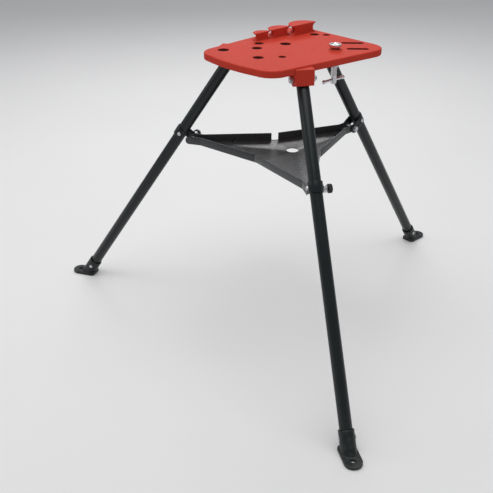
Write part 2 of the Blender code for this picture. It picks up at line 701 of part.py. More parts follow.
pin_radius = TRAY_PIN / 2
bore = HOUSING_DIAMETER / 2 - HOUSING_WALL
collar_low = BRACKET_OUTER + 2 * GAP
collar_high = collar_low + PIN_COLLAR
room = collar_high + PIN_TRAVEL + SPRING_ROOM
housing_end = room + HOUSING_END
knob_low = housing_end + 4 * GAP
knob_high = knob_low + KNOB_LENGTH
for name, turn, side in LEGS:
    if name == "rear":
        continue
    pin_axis = axis("pin_axis_" + name, pin_at @ along_y(side), leg_axes[name])
    half = HOUSING_DIAMETER / 2
    base = BRACKET_OUTER + GAP
    profile = [(bore, base), (half, base), (half, housing_end - 0.001)]
    profile += [(half - 0.001, housing_end), (pin_radius + BOLT_PLAY, housing_end)]
    profile += [(pin_radius + BOLT_PLAY, room), (bore, room)]
    node("pin_housing_" + name, lathe(profile), "zinc", pin_axis)

    point = BRACKET_INNER - PIN_REACH
    shank_end = knob_high - KNOB_SKIN
    profile = [(0.0, point), (pin_radius * 0.7, point), (pin_radius, point + 0.0015)]
    profile += [(pin_radius, collar_low), (bore - BOLT_PLAY, collar_low)]
    profile += [(bore - BOLT_PLAY, collar_high), (pin_radius, collar_high)]
    profile += [(pin_radius, shank_end), (0.0, shank_end)]
    node("pull_pin_" + name, lathe(profile), "bright", pin_axis)

    grip = KNOB_DIAMETER / 2
    profile = [(pin_radius + GAP, knob_low), (grip * 0.6, knob_low)]
    profile += [(grip * 0.62, knob_low + KNOB_LENGTH * 0.35), (grip, knob_low + KNOB_LENGTH * 0.5)]
    profile += [(grip, knob_high - 0.003), (grip * 0.8, knob_high), (0.0, knob_high)]
    profile += [(0.0, shank_end + GAP), (pin_radius + GAP, shank_end + GAP)]
    node("pin_knob_" + name, lathe(profile), "plastic", pin_axis)

    wire = SPRING_WIRE / 2
    mean = (pin_radius + bore) / 2
    first = collar_high + wire + GAP
    last = room - wire - GAP
    bm = bmesh.new()
    loops = []
    steps = SPRING_TURNS * 8
    for i in range(steps + 1):
        angle = 2 * math.pi * i / 8
        height = first + (last - first) * i / steps
        spots = [(mean + c, height + d) for c, d in circle(wire, sides=4)]
        loops.append(
            [bm.verts.new((r * math.cos(angle), r * math.sin(angle), h)) for r, h in spots]
        )
    for before, after in zip(loops, loops[1:]):
        for i in range(4):
            bm.faces.new((before[i - 1], before[i], after[i], after[i - 1]))
    bm.faces.new(loops[0])
    bm.faces.new(loops[-1])
    node("pin_spring_" + name, shape(bm), "zinc", pin_axis)

# Ceiling-brace screw: the screw turns, its cup only rises

brace_axis = axis(
    "brace_axis", Matrix.Translation((BRACE_X, STAND_Y + BRACE_Y, TOP_HEIGHT))
)
nut_high = -BRACE_BOSS_DEPTH - GAP
nut_low = nut_high - BRACE_NUT_HEIGHT
brace_bore = BRACE_SCREW / 2 + BOLT_PLAY
made = nut(BRACE_NUT_FLATS, brace_bore, nut_low, nut_high, Matrix.Identity(4))
node("brace_jam_nut", made, "zinc", brace_axis)

cup_low = BRACE_SEAT + 4 * GAP
cup_high = cup_low + BRACE_CUP_HEIGHT
neck_top = cup_low + BRACE_CUP_HEIGHT / 2
neck_radius = BRACE_NECK / 2
profile = [(neck_radius + BOLT_PLAY, cup_low), (BRACE_CUP * 0.34, cup_low)]
profile += [(BRACE_CUP / 2, cup_high - 0.004), (BRACE_CUP / 2, cup_high)]
profile += [(BRACE_CUP * 0.4, cup_high), (0.0, cup_high - BRACE_CUP_DISH)]
profile += [(0.0, neck_top + GAP), (neck_radius + BOLT_PLAY, neck_top + GAP)]
node("brace_cup", lathe(profile, 24), "bright", brace_axis)

radius = BRACE_SCREW / 2
profile = [(0.0, -BRACE_TAIL), (radius - 0.0015, -BRACE_TAIL), (radius, -BRACE_TAIL + 0.0015)]
profile += [(radius, cup_low - GAP), (neck_radius, cup_low - GAP), (neck_radius, neck_top)]
profile += [(0.0, neck_top)]
bar_z = -BRACE_TAIL + BRACE_BAR_RISE
bar_hole = circle(BRACE_BAR / 2 + GAP, (0.0, bar_z), 16)
screw = cut(lathe(profile), prism(bar_hole, -BRACE_SCREW, BRACE_SCREW, "y"))
node("brace_screw", screw, "bright", brace_axis)

half = BRACE_BAR_LENGTH / 2
thin = BRACE_BAR / 2
profile = [(0.0, -half), (thin + 0.0015, -half), (thin + 0.0015, -half + 0.004), (thin, -half + 0.005)]
profile += [(thin, half - 0.005), (thin + 0.0015, half - 0.004), (thin + 0.0015, half), (0.0, half)]
bar_place = Matrix.Translation((0.0, 0.0, bar_z)) @ along_y()
node("brace_bar", lathe(profile, 16, place=bar_place), "bright", brace_axis)
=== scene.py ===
# %% [markdown]
# # A folding tripod stand, from plain solids to a finished object
# The stand has a red cast top, three black tube legs and a folded sheet tray. The frame that is loaded
# below already holds every piece at its true size and place. This lesson gives the pieces what the plain
# solids lack: rounded castings, bent sheet, screw threads, broken edges, and paint, zinc and plastic.

# %% Load the frame
import json
import math

import bmesh
import bpy
import numpy as np
from mathutils import Matrix, Vector

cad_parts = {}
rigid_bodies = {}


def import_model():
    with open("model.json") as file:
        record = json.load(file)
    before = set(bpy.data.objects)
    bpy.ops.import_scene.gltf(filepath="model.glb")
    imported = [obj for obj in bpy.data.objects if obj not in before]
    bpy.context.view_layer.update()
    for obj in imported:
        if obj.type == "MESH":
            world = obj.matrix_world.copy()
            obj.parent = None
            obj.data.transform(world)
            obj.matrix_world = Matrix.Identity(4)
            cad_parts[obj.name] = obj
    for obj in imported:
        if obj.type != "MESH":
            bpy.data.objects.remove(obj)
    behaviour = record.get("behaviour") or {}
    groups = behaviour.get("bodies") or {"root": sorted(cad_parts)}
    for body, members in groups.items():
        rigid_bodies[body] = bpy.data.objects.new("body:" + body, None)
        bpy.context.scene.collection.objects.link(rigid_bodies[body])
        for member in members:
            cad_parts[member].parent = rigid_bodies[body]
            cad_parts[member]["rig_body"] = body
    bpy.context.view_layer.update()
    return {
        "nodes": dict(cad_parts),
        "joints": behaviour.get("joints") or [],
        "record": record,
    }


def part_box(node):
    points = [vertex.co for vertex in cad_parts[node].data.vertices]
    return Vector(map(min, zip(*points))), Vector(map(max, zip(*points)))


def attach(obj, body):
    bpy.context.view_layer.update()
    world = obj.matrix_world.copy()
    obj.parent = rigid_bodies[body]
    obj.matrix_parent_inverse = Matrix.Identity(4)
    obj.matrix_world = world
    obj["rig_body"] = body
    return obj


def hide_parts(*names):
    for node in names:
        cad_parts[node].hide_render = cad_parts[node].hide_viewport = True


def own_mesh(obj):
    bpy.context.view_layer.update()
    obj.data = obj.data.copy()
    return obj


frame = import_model()
record = frame["record"]

# %% [markdown]
# ## Places
# A maker measures from the pivots, because everything on the stand hangs from them. The frame's joints
# give the three pivots and the tray's hinge, so no place is typed twice. Each leg gets two frames of its
# own: one upright at its pivot, with X outward, and one that leans with the tube.

# %% Pivots and leg frames
LEGS = ("front_left", "front_right", "rear")
PIN_LEGS = ("front_left", "front_right")
joints = {joint["name"]: joint for joint in frame["joints"]}
deck_face = next(m for m in record["mounts"] if m["name"] == "bench_top_face")

pivots = {leg: Vector(joints["leg_fold_" + leg]["pos_m"]) for leg in LEGS}
middle = sum(pivots.values(), Vector()) / len(LEGS)
lean = math.radians(joints["leg_fold_rear"]["range_deg"][1])
deck_height = deck_face["pos_m"][2]
pivot_height = middle.z
pivot_drop = deck_height - pivot_height
pivot_radius = (pivots["rear"] - middle).length
turns = {leg: math.atan2(*reversed((pivots[leg] - middle).xy)) for leg in LEGS}
# The side of each leg that its nuts are on. On a front leg it faces away from the front centre, and the
# pull pin is there too.
sides = {"front_left": -1, "front_right": 1, "rear": 1}

top_frame = Matrix.Translation((middle.x, middle.y, deck_height))
upright_frames = {
    leg: Matrix.Translation(pivots[leg]) @ Matrix.Rotation(turns[leg], 4, "Z") for leg in LEGS
}
leg_frames = {leg: upright_frames[leg] @ Matrix.Rotation(-lean, 4, "Y") for leg in LEGS}
print("pivot circle:", round(pivot_radius, 4), "lean:", round(math.degrees(lean), 1))

# %% [markdown]
# ## Tools for shapes
# Most pieces of a stand are either turned in a lathe or cut from flat stock. Blender's spin makes the
# first kind from half a section, and an extrusion makes the second. What is drilled, milled or fused is
# a Boolean. Real edges are never razor sharp, so one more tool bevels every edge that turns sharply.

# %% Turned and flat shapes
SHARP = math.radians(28)
SAME_SPOT = 1e-6


def turned(line, steps=48, closed=False):
    """Spins a line of (radius, height) points once round Z."""
    bm = bmesh.new()
    points = [bm.verts.new((radius, 0.0, height)) for radius, height in line]
    edges = [bm.edges.new(pair) for pair in zip(points, points[1:])]
    if closed:
        edges.append(bm.edges.new((points[-1], points[0])))
    bmesh.ops.spin(
        bm, geom=points + edges, axis=(0, 0, 1), angle=2 * math.pi, steps=steps, use_merge=True
    )
    bmesh.ops.remove_doubles(bm, verts=bm.verts, dist=SAME_SPOT)
    bmesh.ops.recalc_face_normals(bm, faces=bm.faces)
    return bm


def slab(outline, low, high):
    """Lifts a flat outline of (x, y) points from one height to another."""
    bm = bmesh.new()
    face = bm.faces.new([bm.verts.new((x, y, low)) for x, y in outline])
    lifted = bmesh.ops.extrude_face_region(bm, geom=[face])["geom"]
    upper = [v for v in lifted if isinstance(v, bmesh.types.BMVert)]
    bmesh.ops.translate(bm, vec=(0, 0, high - low), verts=upper)
    bmesh.ops.recalc_face_normals(bm, faces=bm.faces)
    return bm


def block(low, high):
    """A box between two corners."""
    outline = [(low[0], low[1]), (high[0], low[1]), (high[0], high[1]), (low[0], high[1])]
    return slab(outline, low[2], high[2])


def moved(bm, place):
    bmesh.ops.transform(bm, matrix=place, verts=bm.verts)
    return bm


def bevelled(bm, edges, width, steps):
    bmesh.ops.bevel(
        bm,
        geom=edges,
        offset=width,
        offset_type="OFFSET",
        segments=steps,
        profile=0.5,
        affect="EDGES",
        clamp_overlap=True,
        material=-1,
    )
    return bm


def broken(bm, width, steps=2):
    """Breaks every edge that turns sharply, as a file or a tumbler does."""
    edges = [e for e in bm.edges if e.is_manifold and e.calc_face_angle() > SHARP]
    return bevelled(bm, edges, width, steps)


def uprights(bm):
    """The edges that run along Z."""
    return [e for e in bm.edges if (e.verts[0].co - e.verts[1].co).xy.length < SAME_SPOT]


def rounded(bm, edges, radius, steps=16):
    """Rounds upright edges to a radius, whatever the angle between their faces."""
    for edge in edges:
        bevelled(bm, [edge], radius * math.tan(edge.calc_face_angle() / 2), steps)
    return bm


def arc(radius, start, stop, steps, at=(0.0, 0.0)):
    """Points on an arc, in degrees."""
    angles = [math.radians(start + (stop - start) * i / steps) for i in range(steps + 1)]
    return [(at[0] + radius * math.cos(a), at[1] + radius * math.sin(a)) for a in angles]


def round_bar(radius, low, high, steps=48):
    return turned([(0.0, low), (radius, low), (radius, high), (0.0, high)], steps)


def tube(outer, inner, low, high, steps=48):
    return turned([(inner, low), (outer, low), (outer, high), (inner, high)], steps, closed=True)


def outward(side):
    """Lays a shape that was made along Z along Y, towards this side."""
    return Matrix.Rotation(-side * math.pi / 2, 4, "X")


# Stands a side view up: its outline's second value becomes the height
ALONG_Y = Matrix.Rotation(math.pi / 2, 4, "X")
print("tools for shapes are ready")

# %% Booleans and finished meshes
WELD = 1e-5
FLAT = math.radians(0.5)
CREASE = 35.0
NO_CREASE = 180.0
# How far edges are broken, from the tubes down to the pull pins
TUBE_BREAK = 0.0006
STRAP_BREAK = 0.0005
SHEET_BREAK = 0.0004
DISC_BREAK = 0.0003
PIN_BREAK = 0.0002


def as_object(bm):
    mesh = bpy.data.meshes.new("shape")
    bm.to_mesh(mesh)
    bm.free()
    made = bpy.data.objects.new("shape", mesh)
    bpy.context.scene.collection.objects.link(made)
    return made


def settled(piece):
    """Applies a piece's modifiers to its mesh."""
    bpy.context.view_layer.update()
    seen = piece.evaluated_get(bpy.context.evaluated_depsgraph_get())
    mesh = bpy.data.meshes.new_from_object(seen)
    piece.modifiers.clear()
    piece.data = mesh
    return piece


def combined(piece, bm, operation):
    tool = as_object(bm)
    change = piece.modifiers.new("boolean", "BOOLEAN")
    change.operation = operation
    change.solver = "EXACT"
    change.object = tool
    settled(piece)
    bpy.data.objects.remove(tool, do_unlink=True)
    return piece


def fused(piece, *shapes):
    for bm in shapes:
        combined(piece, bm, "UNION")
    return piece


def carved(piece, *shapes):
    for bm in shapes:
        combined(piece, bm, "DIFFERENCE")
    return piece


def mesh_of(piece):
    """Takes the mesh out of a working object."""
    mesh = piece.data
    bpy.data.objects.remove(piece, do_unlink=True)
    return mesh


def triangle_count(mesh):
    mesh.calc_loop_triangles()
    return len(mesh.loop_triangles)


def bmesh_of(piece):
    """Takes the shape out of a working object, to be a tool for another."""
    bm = bmesh.new()
    bm.from_mesh(mesh_of(piece))
    return bm


def softened(piece, width, steps=2):
    """Breaks the edges of a piece that Booleans have cut."""
    bm = bmesh.new()
    bm.from_mesh(piece.data)
    bmesh.ops.remove_doubles(bm, verts=bm.verts, dist=WELD)
    bmesh.ops.dissolve_limit(bm, angle_limit=FLAT, verts=bm.verts, edges=bm.edges)
    bm.to_mesh(piece.data)
    bm.free()
    edge = piece.modifiers.new("edge", "BEVEL")
    edge.width = width
    edge.segments = steps
    edge.limit_method = "ANGLE"
    edge.angle_limit = SHARP
    edge.use_clamp_overlap = False
    return settled(piece)


def dress(node, shape, place, finish, sharp=CREASE):
    """Puts a finished mesh in the place of a plain solid, on the solid's own body."""
    mesh = shape.copy()
    mesh.transform(place)
    mesh.materials.clear()
    mesh.materials.append(finish.material)
    mesh.shade_smooth()
    mesh.set_sharp_from_angle(angle=math.radians(sharp))
    made = bpy.data.objects.new(node + "_finished", mesh)
    bpy.context.scene.collection.objects.link(made)
    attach(made, frame["nodes"][node]["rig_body"])
    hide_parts(node)
    return made


print("tools for solids are ready")

# %% [markdown]
# ## Shader maths
# A finish is a few noises added, scaled and mixed. Written as nodes that is long to read, so a small
# class wraps a socket and lets Python's own operators add the Math nodes. Every other kind of node comes
# from one method, which sets the node's options first and then its sockets.

# %% Finish and Value
EVEN = (1.0, 1.0, 1.0)


class Value:
    """A shader socket that Python's operators work on."""

    def __init__(self, finish, socket):
        self.finish = finish
        self.socket = socket

    def maths(self, operation, first, second):
        return self.finish.node("ShaderNodeMath", {"operation": operation}, {0: first, 1: second})

    def __add__(self, other):
        return self.maths("ADD", self, other)

    def __sub__(self, other):
        return self.maths("SUBTRACT", self, other)

    def __mul__(self, other):
        return self.maths("MULTIPLY", self, other)

    __radd__ = __add__


class Finish:
    """One material: a Principled shader and the nodes that feed it."""

    def __init__(self, name, fixed):
        self.material = bpy.data.materials.new(name)
        self.material.use_nodes = True
        self.tree = self.material.node_tree
        self.shader = self.tree.nodes["Principled BSDF"]
        self.spot = self.node("ShaderNodeTexCoord", out="Object")
        self.surface(fixed)

    def node(self, kind, settings=None, inputs=None, out=0):
        made = self.tree.nodes.new(kind)
        for name, value in (settings or {}).items():
            setattr(made, name, value)
        for key, value in (inputs or {}).items():
            self.feed(made.inputs[key], value)
        return Value(self, made.outputs[out])

    def feed(self, socket, value):
        if isinstance(value, Value):
            self.tree.links.new(value.socket, socket)
        else:
            socket.default_value = value

    def noise(self, scale, detail=2.0, stretch=EVEN):
        """A cloudy value round 0.5. Scale is in blobs to the metre."""
        spot = self.spot
        if stretch != EVEN:
            spot = self.node("ShaderNodeMapping", {}, {"Vector": spot, "Scale": stretch})
        inputs = {"Vector": spot, "Scale": scale, "Detail": detail, "Roughness": 0.55}
        return self.node("ShaderNodeTexNoise", {}, inputs, out="Fac")

    def mesh_attribute(self, name):
        """A value that was worked out on the mesh, from 0 to 1."""
        return self.node("ShaderNodeAttribute", {"attribute_name": name}, out="Fac")

    def step(self, value, low, high):
        """Eases from 0 to 1 as a value goes from low to high."""
        inputs = {"Value": value, "From Min": low, "From Max": high}
        return self.node("ShaderNodeMapRange", {"interpolation_type": "SMOOTHSTEP"}, inputs)

    def mix(self, share, first, second):
        """Mixes two colours. ShaderNodeMix keeps its colour sockets at 6 and 7."""
        first, second = [c if isinstance(c, Value) else (*c, 1.0) for c in (first, second)]
        settings = {"data_type": "RGBA", "clamp_factor": True}
        return self.node("ShaderNodeMix", settings, {0: share, 6: first, 7: second}, out=2)

    def height(self):
        return self.node("ShaderNodeSeparateXYZ", {}, {"Vector": self.spot}, out="Z")

    def bump(self, height, distance):
        inputs = {"Height": height, "Distance": distance, "Strength": 1.0}
        self.surface({"Normal": self.node("ShaderNodeBump", {}, inputs)})

    def surface(self, sockets):
        for name, value in sockets.items():
            self.feed(self.shader.inputs[name], value)


print("shader tools are ready")

# %% [markdown]
# ## Red coat on the casting
# The top is cast aluminium under red powder coat. Powder melts into a skin with a fine orange peel, over
# the slight waviness of sand casting. The shade drifts a little over a hand's width, and the hollows are
# darkened with painted shade. The coat is rubbed paler where tools and vises catch the edges, and that
# paler red is partly a painted sheen. The walls of the holes are painted nearly black, as painted shade. A
# noise doesn't know where these places are, so the mesh carries edges, hollows and bores as three
# attributes that are worked out further down.

# %% Red coat
RED_TONES = ((0.50, 0.040, 0.024), (0.62, 0.058, 0.036))
RED_PAINTED_SHADE = (0.20, 0.012, 0.010)
RED_WEAR_AND_SHEEN = (0.72, 0.20, 0.15)
BORE_PAINTED_SHADE = (0.022, 0.016, 0.013)
RED_PEEL = 0.00022

red_coat = Finish("red_powder_coat", {"Specular IOR Level": 0.05})
drift = red_coat.noise(7.0)
patch = red_coat.noise(60.0, 4.0)
peel = red_coat.noise(620.0, 1.0)
waves = red_coat.noise(95.0)
# Paler red on outward bends: partly rubbed edge wear, partly a painted sheen.
edge_wear_and_sheen = red_coat.step(red_coat.mesh_attribute("edge") + (patch - 0.5) * 0.9, 0.55, 1.1)
shade = red_coat.mix(drift, *RED_TONES)
# Painted shade: the casting is darkened where its surface bends inward.
shade = red_coat.mix(red_coat.mesh_attribute("hollow") * 0.6, shade, RED_PAINTED_SHADE)
shade = red_coat.mix(edge_wear_and_sheen * 0.55, shade, RED_WEAR_AND_SHEEN)
# Painted shade: the walls of the holes and slots are painted nearly black.
shade = red_coat.mix(red_coat.mesh_attribute("bored") * 0.94, shade, BORE_PAINTED_SHADE)
red_coat.surface({"Base Color": shade, "Roughness": 0.46 + patch * 0.16 + edge_wear_and_sheen * 0.08})
red_coat.bump(peel * 0.5 + waves * 1.2, RED_PEEL)
print("red coat:", len(red_coat.tree.nodes), "nodes")

# %% [markdown]
# ## Black coat on the legs
# The tubes, feet and brackets wear a semi-gloss black with a cool tint, and the tray wears the same kind
# of paint in dark grey, whose lighter tone is partly a painted sheen. Near the floor a little dust sits on
# it, and handling leaves faint changes of gloss along the tubes.

# %% Black and dark grey coats
LEG_TONES = ((0.0065, 0.0100, 0.0108), (0.012, 0.0175, 0.0185))
TRAY_TONES_AND_SHEEN = ((0.032, 0.036, 0.037), (0.050, 0.055, 0.056))
RUBBED_GREY = (0.13, 0.135, 0.135)
DUST = (0.10, 0.092, 0.082)
DUST_TOP = 0.11
DARK_PEEL = 0.00012


def dark_coat(name, deep, pale, gloss, sheen):
    """A dark stoved paint: two shades, a fine peel, and dust close to the floor."""
    coat = Finish(name, {"Specular IOR Level": sheen})
    cloud = coat.noise(14.0, 3.0)
    handled = coat.noise(70.0, 4.0)
    dust = coat.step(coat.height(), DUST_TOP, 0.0) * coat.step(handled, 0.35, 0.75)
    tone = coat.mix(cloud, deep, pale)
    tone = coat.mix(coat.mesh_attribute("edge") * coat.step(handled, 0.4, 0.7) * 0.5, tone, RUBBED_GREY)
    tone = coat.mix(dust * 0.35, tone, DUST)
    coat.surface({"Base Color": tone, "Roughness": gloss + handled * 0.14 + dust * 0.2})
    coat.bump(coat.noise(760.0, 1.0), DARK_PEEL)
    return coat


black_coat = dark_coat("black_stoved_paint", *LEG_TONES, gloss=0.26, sheen=0.34)
# The tray's grey is partly its own dark grey paint and partly a painted sheen.
tray_coat = dark_coat("dark_grey_stoved_paint", *TRAY_TONES_AND_SHEEN, gloss=0.22, sheen=0.5)
print("dark coats are ready")

# %% [markdown]
# ## Zinc, bright steel, plastic and nylon
# Plated fasteners have a soft mottled shine. Turned steel is brighter, with hair-fine marks. The knobs
# and plugs are black moulded plastic with a fine spark-eroded grain.

# %% Metals and plastics
ZINC_TONES = ((0.46, 0.47, 0.48), (0.66, 0.67, 0.69))
STEEL_TONES = ((0.62, 0.63, 0.64), (0.78, 0.79, 0.80))
PLASTIC_TONES = ((0.011, 0.011, 0.012), (0.018, 0.018, 0.019))
NYLON_TONES = ((0.66, 0.68, 0.70), (0.74, 0.76, 0.78))
HAIR_DEPTH = 0.00004
GRAIN_DEPTH = 0.00008


def metal(name, deep, pale, gloss, spread, marks):
    """Bare or plated metal: a mottle of two shades, and fine marks in its shine."""
    made = Finish(name, {"Metallic": 1.0})
    mottle = made.noise(240.0, 4.0)
    hairs = made.noise(900.0, 2.0, marks)
    shine = gloss + mottle * spread + hairs * spread
    made.surface({"Base Color": made.mix(mottle, deep, pale), "Roughness": shine})
    made.bump(hairs, HAIR_DEPTH)
    return made


def moulded(name, deep, pale, gloss):
    made = Finish(name, {"Specular IOR Level": 0.45})
    cloud = made.noise(50.0)
    grain = made.noise(1500.0, 1.0)
    made.surface({"Base Color": made.mix(cloud, deep, pale), "Roughness": gloss + grain * 0.16})
    made.bump(grain, GRAIN_DEPTH)
    return made


zinc = metal("zinc_plate", *ZINC_TONES, gloss=0.22, spread=0.12, marks=EVEN)
bright = metal("bright_turned_steel", *STEEL_TONES, gloss=0.10, spread=0.09, marks=(1.0, 1.0, 4.0))
plastic = moulded("black_moulded_plastic", *PLASTIC_TONES, gloss=0.38)
nylon = moulded("white_nylon", *NYLON_TONES, gloss=0.34)
print("metals and plastics are ready")

# %% [markdown]
# ## Castings
# A sand casting has a fillet in every inside corner and a round on every outside one. Bevelling dozens
# of joints between deck, ribs, sockets and formers by hand would be slow and fragile. A voxel remesh and
# several passes of smoothing round all of them at once, the way a pattern maker's wax does, and a decimate
# then takes the spare triangles off the flats. The bend of the finished surface is measured at every
# vertex afterwards: outward bends are edges, inward bends are hollows.

# %% Casting tools
BORE_EDGE = 0.0009


def cast(piece, grain, passes, keep):
    """Remeshes a shape at this grain, smooths it, and keeps this share of its faces."""
    fill = piece.modifiers.new("fill", "REMESH")
    fill.mode = "VOXEL"
    fill.voxel_size = grain
    soften = piece.modifiers.new("soften", "SMOOTH")
    soften.factor = 0.5
    soften.iterations = passes
    thin = piece.modifiers.new("thin", "DECIMATE")
    thin.ratio = keep
    return settled(piece)


def places_of(mesh):
    spots = np.empty(len(mesh.vertices) * 3, np.float32)
    mesh.vertices.foreach_get("co", spots)
    return spots.reshape(-1, 3).astype(float)


def mark_bends(mesh, radius):
    """Stores how sharply the surface bends out (edge) or in (hollow). A bend of this radius counts as 1."""
    count = len(mesh.vertices)
    spots = places_of(mesh)
    normals = np.empty(count * 3, np.float32)
    mesh.vertex_normals.foreach_get("vector", normals)
    normals = normals.reshape(-1, 3).astype(float)
    ends = np.empty(len(mesh.edges) * 2, np.int32)
    mesh.edges.foreach_get("vertices", ends)
    ends = ends.reshape(-1, 2)
    bend = np.zeros(count)
    seen = np.zeros(count)
    for a, b in (ends.T, ends.T[::-1]):
        step = spots[a] - spots[b]
        turn = 2 * np.einsum("ij,ij->i", step, normals[a]) / np.einsum("ij,ij->i", step, step)
        np.add.at(bend, a, turn)
        np.add.at(seen, a, 1)
    bend *= radius / np.maximum(seen, 1)
    for name, values in (("edge", bend), ("hollow", -bend)):
        layer = mesh.attributes.new(name, "FLOAT", "POINT")
        layer.data.foreach_set("value", np.clip(values, 0, 1).astype(np.float32))


def mark_bores(mesh, cuts):
    """Stores where the walls of drilled holes are. A cut is two ends and a radius."""
    spots = places_of(mesh)
    depth = np.clip((-spots[:, 2] - BORE_EDGE) / BORE_EDGE, 0, 1)
    inside = np.zeros(len(spots))
    for start, end, radius in cuts:
        start, way = np.array(start), np.subtract(end, start)
        share = np.clip((spots[:, :2] - start) @ way / max(way @ way, 1e-9), 0, 1)
        away = np.linalg.norm(spots[:, :2] - start - share[:, None] * way, axis=1)
        inside = np.maximum(inside, away < radius + BORE_EDGE)
    layer = mesh.attributes.new("bored", "FLOAT", "POINT")
    layer.data.foreach_set("value", (inside * depth).astype(np.float32))


def weigh_normals(piece):
    """Lets the broad faces lead the shading, so that flats look flat beside their rounds."""
    weigh = piece.modifiers.new("weigh", "WEIGHTED_NORMAL")
    weigh.keep_sharp = True
    return piece


print("casting tools are ready")

# %% [markdown]
# ## The bench top
# The deck is a plate with a skirt: a flat outline with round corners and a slightly bowed front, lifted to
# its thickness, then hollowed from below with an inset and an extrusion. Three sockets under it hold the
# legs. Each has a slanted wall inside that stops its leg at the right lean.

# %% Deck and skirt
GAP = 0.0003
DECK = 0.009
SKIRT = 0.018
SKIRT_WALL = 0.007
FRONT_HALF = 0.138
REAR_HALF = 0.175
FRONT_REACH = 0.185
REAR_REACH = 0.215
NOSE = 0.020
NOSE_RADIUS = 0.400
CORNER_RADIUS = 0.050
EDGE_ROUND = 0.0026

corners = [
    (0.0, -FRONT_REACH - NOSE),
    (FRONT_HALF, -FRONT_REACH),
    (REAR_HALF, REAR_REACH),
    (-REAR_HALF, REAR_REACH),
    (-FRONT_HALF, -FRONT_REACH),
]
deck = slab(corners, -SKIRT, 0.0)
nose = [e for e in uprights(deck) if abs(e.verts[0].co.x) < SAME_SPOT]
others = [e for e in uprights(deck) if abs(e.verts[0].co.x) > SAME_SPOT]
rounded(deck, nose, NOSE_RADIUS)
rounded(deck, others, CORNER_RADIUS)
under = min(deck.faces, key=lambda face: face.calc_center_median().z)
bmesh.ops.inset_region(deck, faces=[under], thickness=SKIRT_WALL, use_even_offset=True)
raised = bmesh.ops.extrude_discrete_faces(deck, faces=[under])["faces"]
bmesh.ops.translate(deck, vec=(0, 0, SKIRT - DECK), verts=raised[0].verts)
bmesh.ops.recalc_face_normals(deck, faces=deck.faces)
rims = [e for e in deck.edges if e.verts[0].co.z == e.verts[1].co.z and e.calc_face_angle() > SHARP]
bevelled(deck, rims, EDGE_ROUND, 4)
casting = as_object(deck)
print("deck faces:", len(casting.data.polygons))

# %% Leg sockets
TUBE = 0.016
TUBE_WALL = 0.0025
SIDE_GAP = 0.0008
CHEEK = 0.007
SOCKET_RADIUS = 0.018
SOCKET_ARC = (180, 297)
STOP_LENGTH = 0.022
STOP_WALL = 0.006
PIVOT_BOLT = 0.005
BOLT_PLAY = 0.0004

socket_half = TUBE + SIDE_GAP
cheek_face = socket_half + CHEEK


def stop_point(down):
    """A point on the face that a leg leans on, this far down the leg from its pivot."""
    reach = TUBE + GAP
    u = reach * math.cos(lean) + down * math.sin(lean)
    return u, reach * math.sin(lean) - down * math.cos(lean)


stop_end = stop_point(STOP_LENGTH)
socket_out = stop_end[0] + STOP_WALL
socket_top = pivot_drop - DECK / 2
pocket_top = pivot_drop - DECK - GAP
bend_down = (socket_half - stop_point(0.0)[0]) / math.sin(lean)
below = stop_point(2 * STOP_LENGTH + CHEEK)
far_in = -SOCKET_RADIUS - 2 * TUBE
socket_outline = arc(SOCKET_RADIUS, *SOCKET_ARC, 24)
socket_outline += [(socket_out, stop_end[1]), (socket_out, socket_top), (-SOCKET_RADIUS, socket_top)]
pocket_outline = [(far_in, below[1]), below, stop_point(bend_down)]
pocket_outline += [(socket_half, pocket_top), (far_in, pocket_top)]

for leg in LEGS:
    place = top_frame.inverted() @ upright_frames[leg]
    across = place @ ALONG_Y
    fused(casting, moved(slab(socket_outline, -cheek_face, cheek_face), across))
    carved(casting, moved(slab(pocket_outline, -socket_half, socket_half), across))
print("sockets on the casting:", len(LEGS))

# %% [markdown]
# Ribs stiffen the deck from below. On top stand three half-round formers for bending pipe: each is a half
# disc with a groove as wide as its pipe, so half a section is spun through half a turn. Round holes and
# two slots take tool shanks, and a thick boss takes the screw that braces the stand against a ceiling.

# %% Ribs, boss and formers
RIB = 0.006
RIB_DEPTH = 0.016
RIBS_ALONG = (-0.022, 0.032)
RIBS_ACROSS = (-0.029, 0.075)
BRACE = Vector(joints["brace_turn"]["pos_m"]) - top_frame.translation
BOSS = 0.018
BOSS_DEPTH = 0.036
CUP = 0.016
SEAT_RIM = 0.002
SEAT = 0.002
# x, y, radius and pipe diameter of each former, from the middle of the stand
FORMERS = (
    (-0.086, 0.156, 0.046, 0.022),
    (-0.106, 0.082, 0.036, 0.018),
    (-0.112, 0.020, 0.027, 0.015),
)
LIP = 0.003

for x in RIBS_ALONG:
    low = (x - RIB / 2, -FRONT_REACH + SKIRT_WALL / 2, -RIB_DEPTH)
    fused(casting, block(low, (x + RIB / 2, RIBS_ACROSS[1], -DECK / 2)))
for y in RIBS_ACROSS:
    share = (y + FRONT_REACH) / (FRONT_REACH + REAR_REACH)
    reach = FRONT_HALF + (REAR_HALF - FRONT_HALF) * share - SKIRT_WALL / 2
    fused(casting, block((-reach, y - RIB / 2, -RIB_DEPTH), (reach, y + RIB / 2, -DECK / 3)))
fused(casting, moved(round_bar(BOSS, -BOSS_DEPTH, -DECK / 4), Matrix.Translation(BRACE)))
fused(casting, moved(round_bar(CUP + SEAT_RIM, -DECK / 2, SEAT), Matrix.Translation(BRACE)))

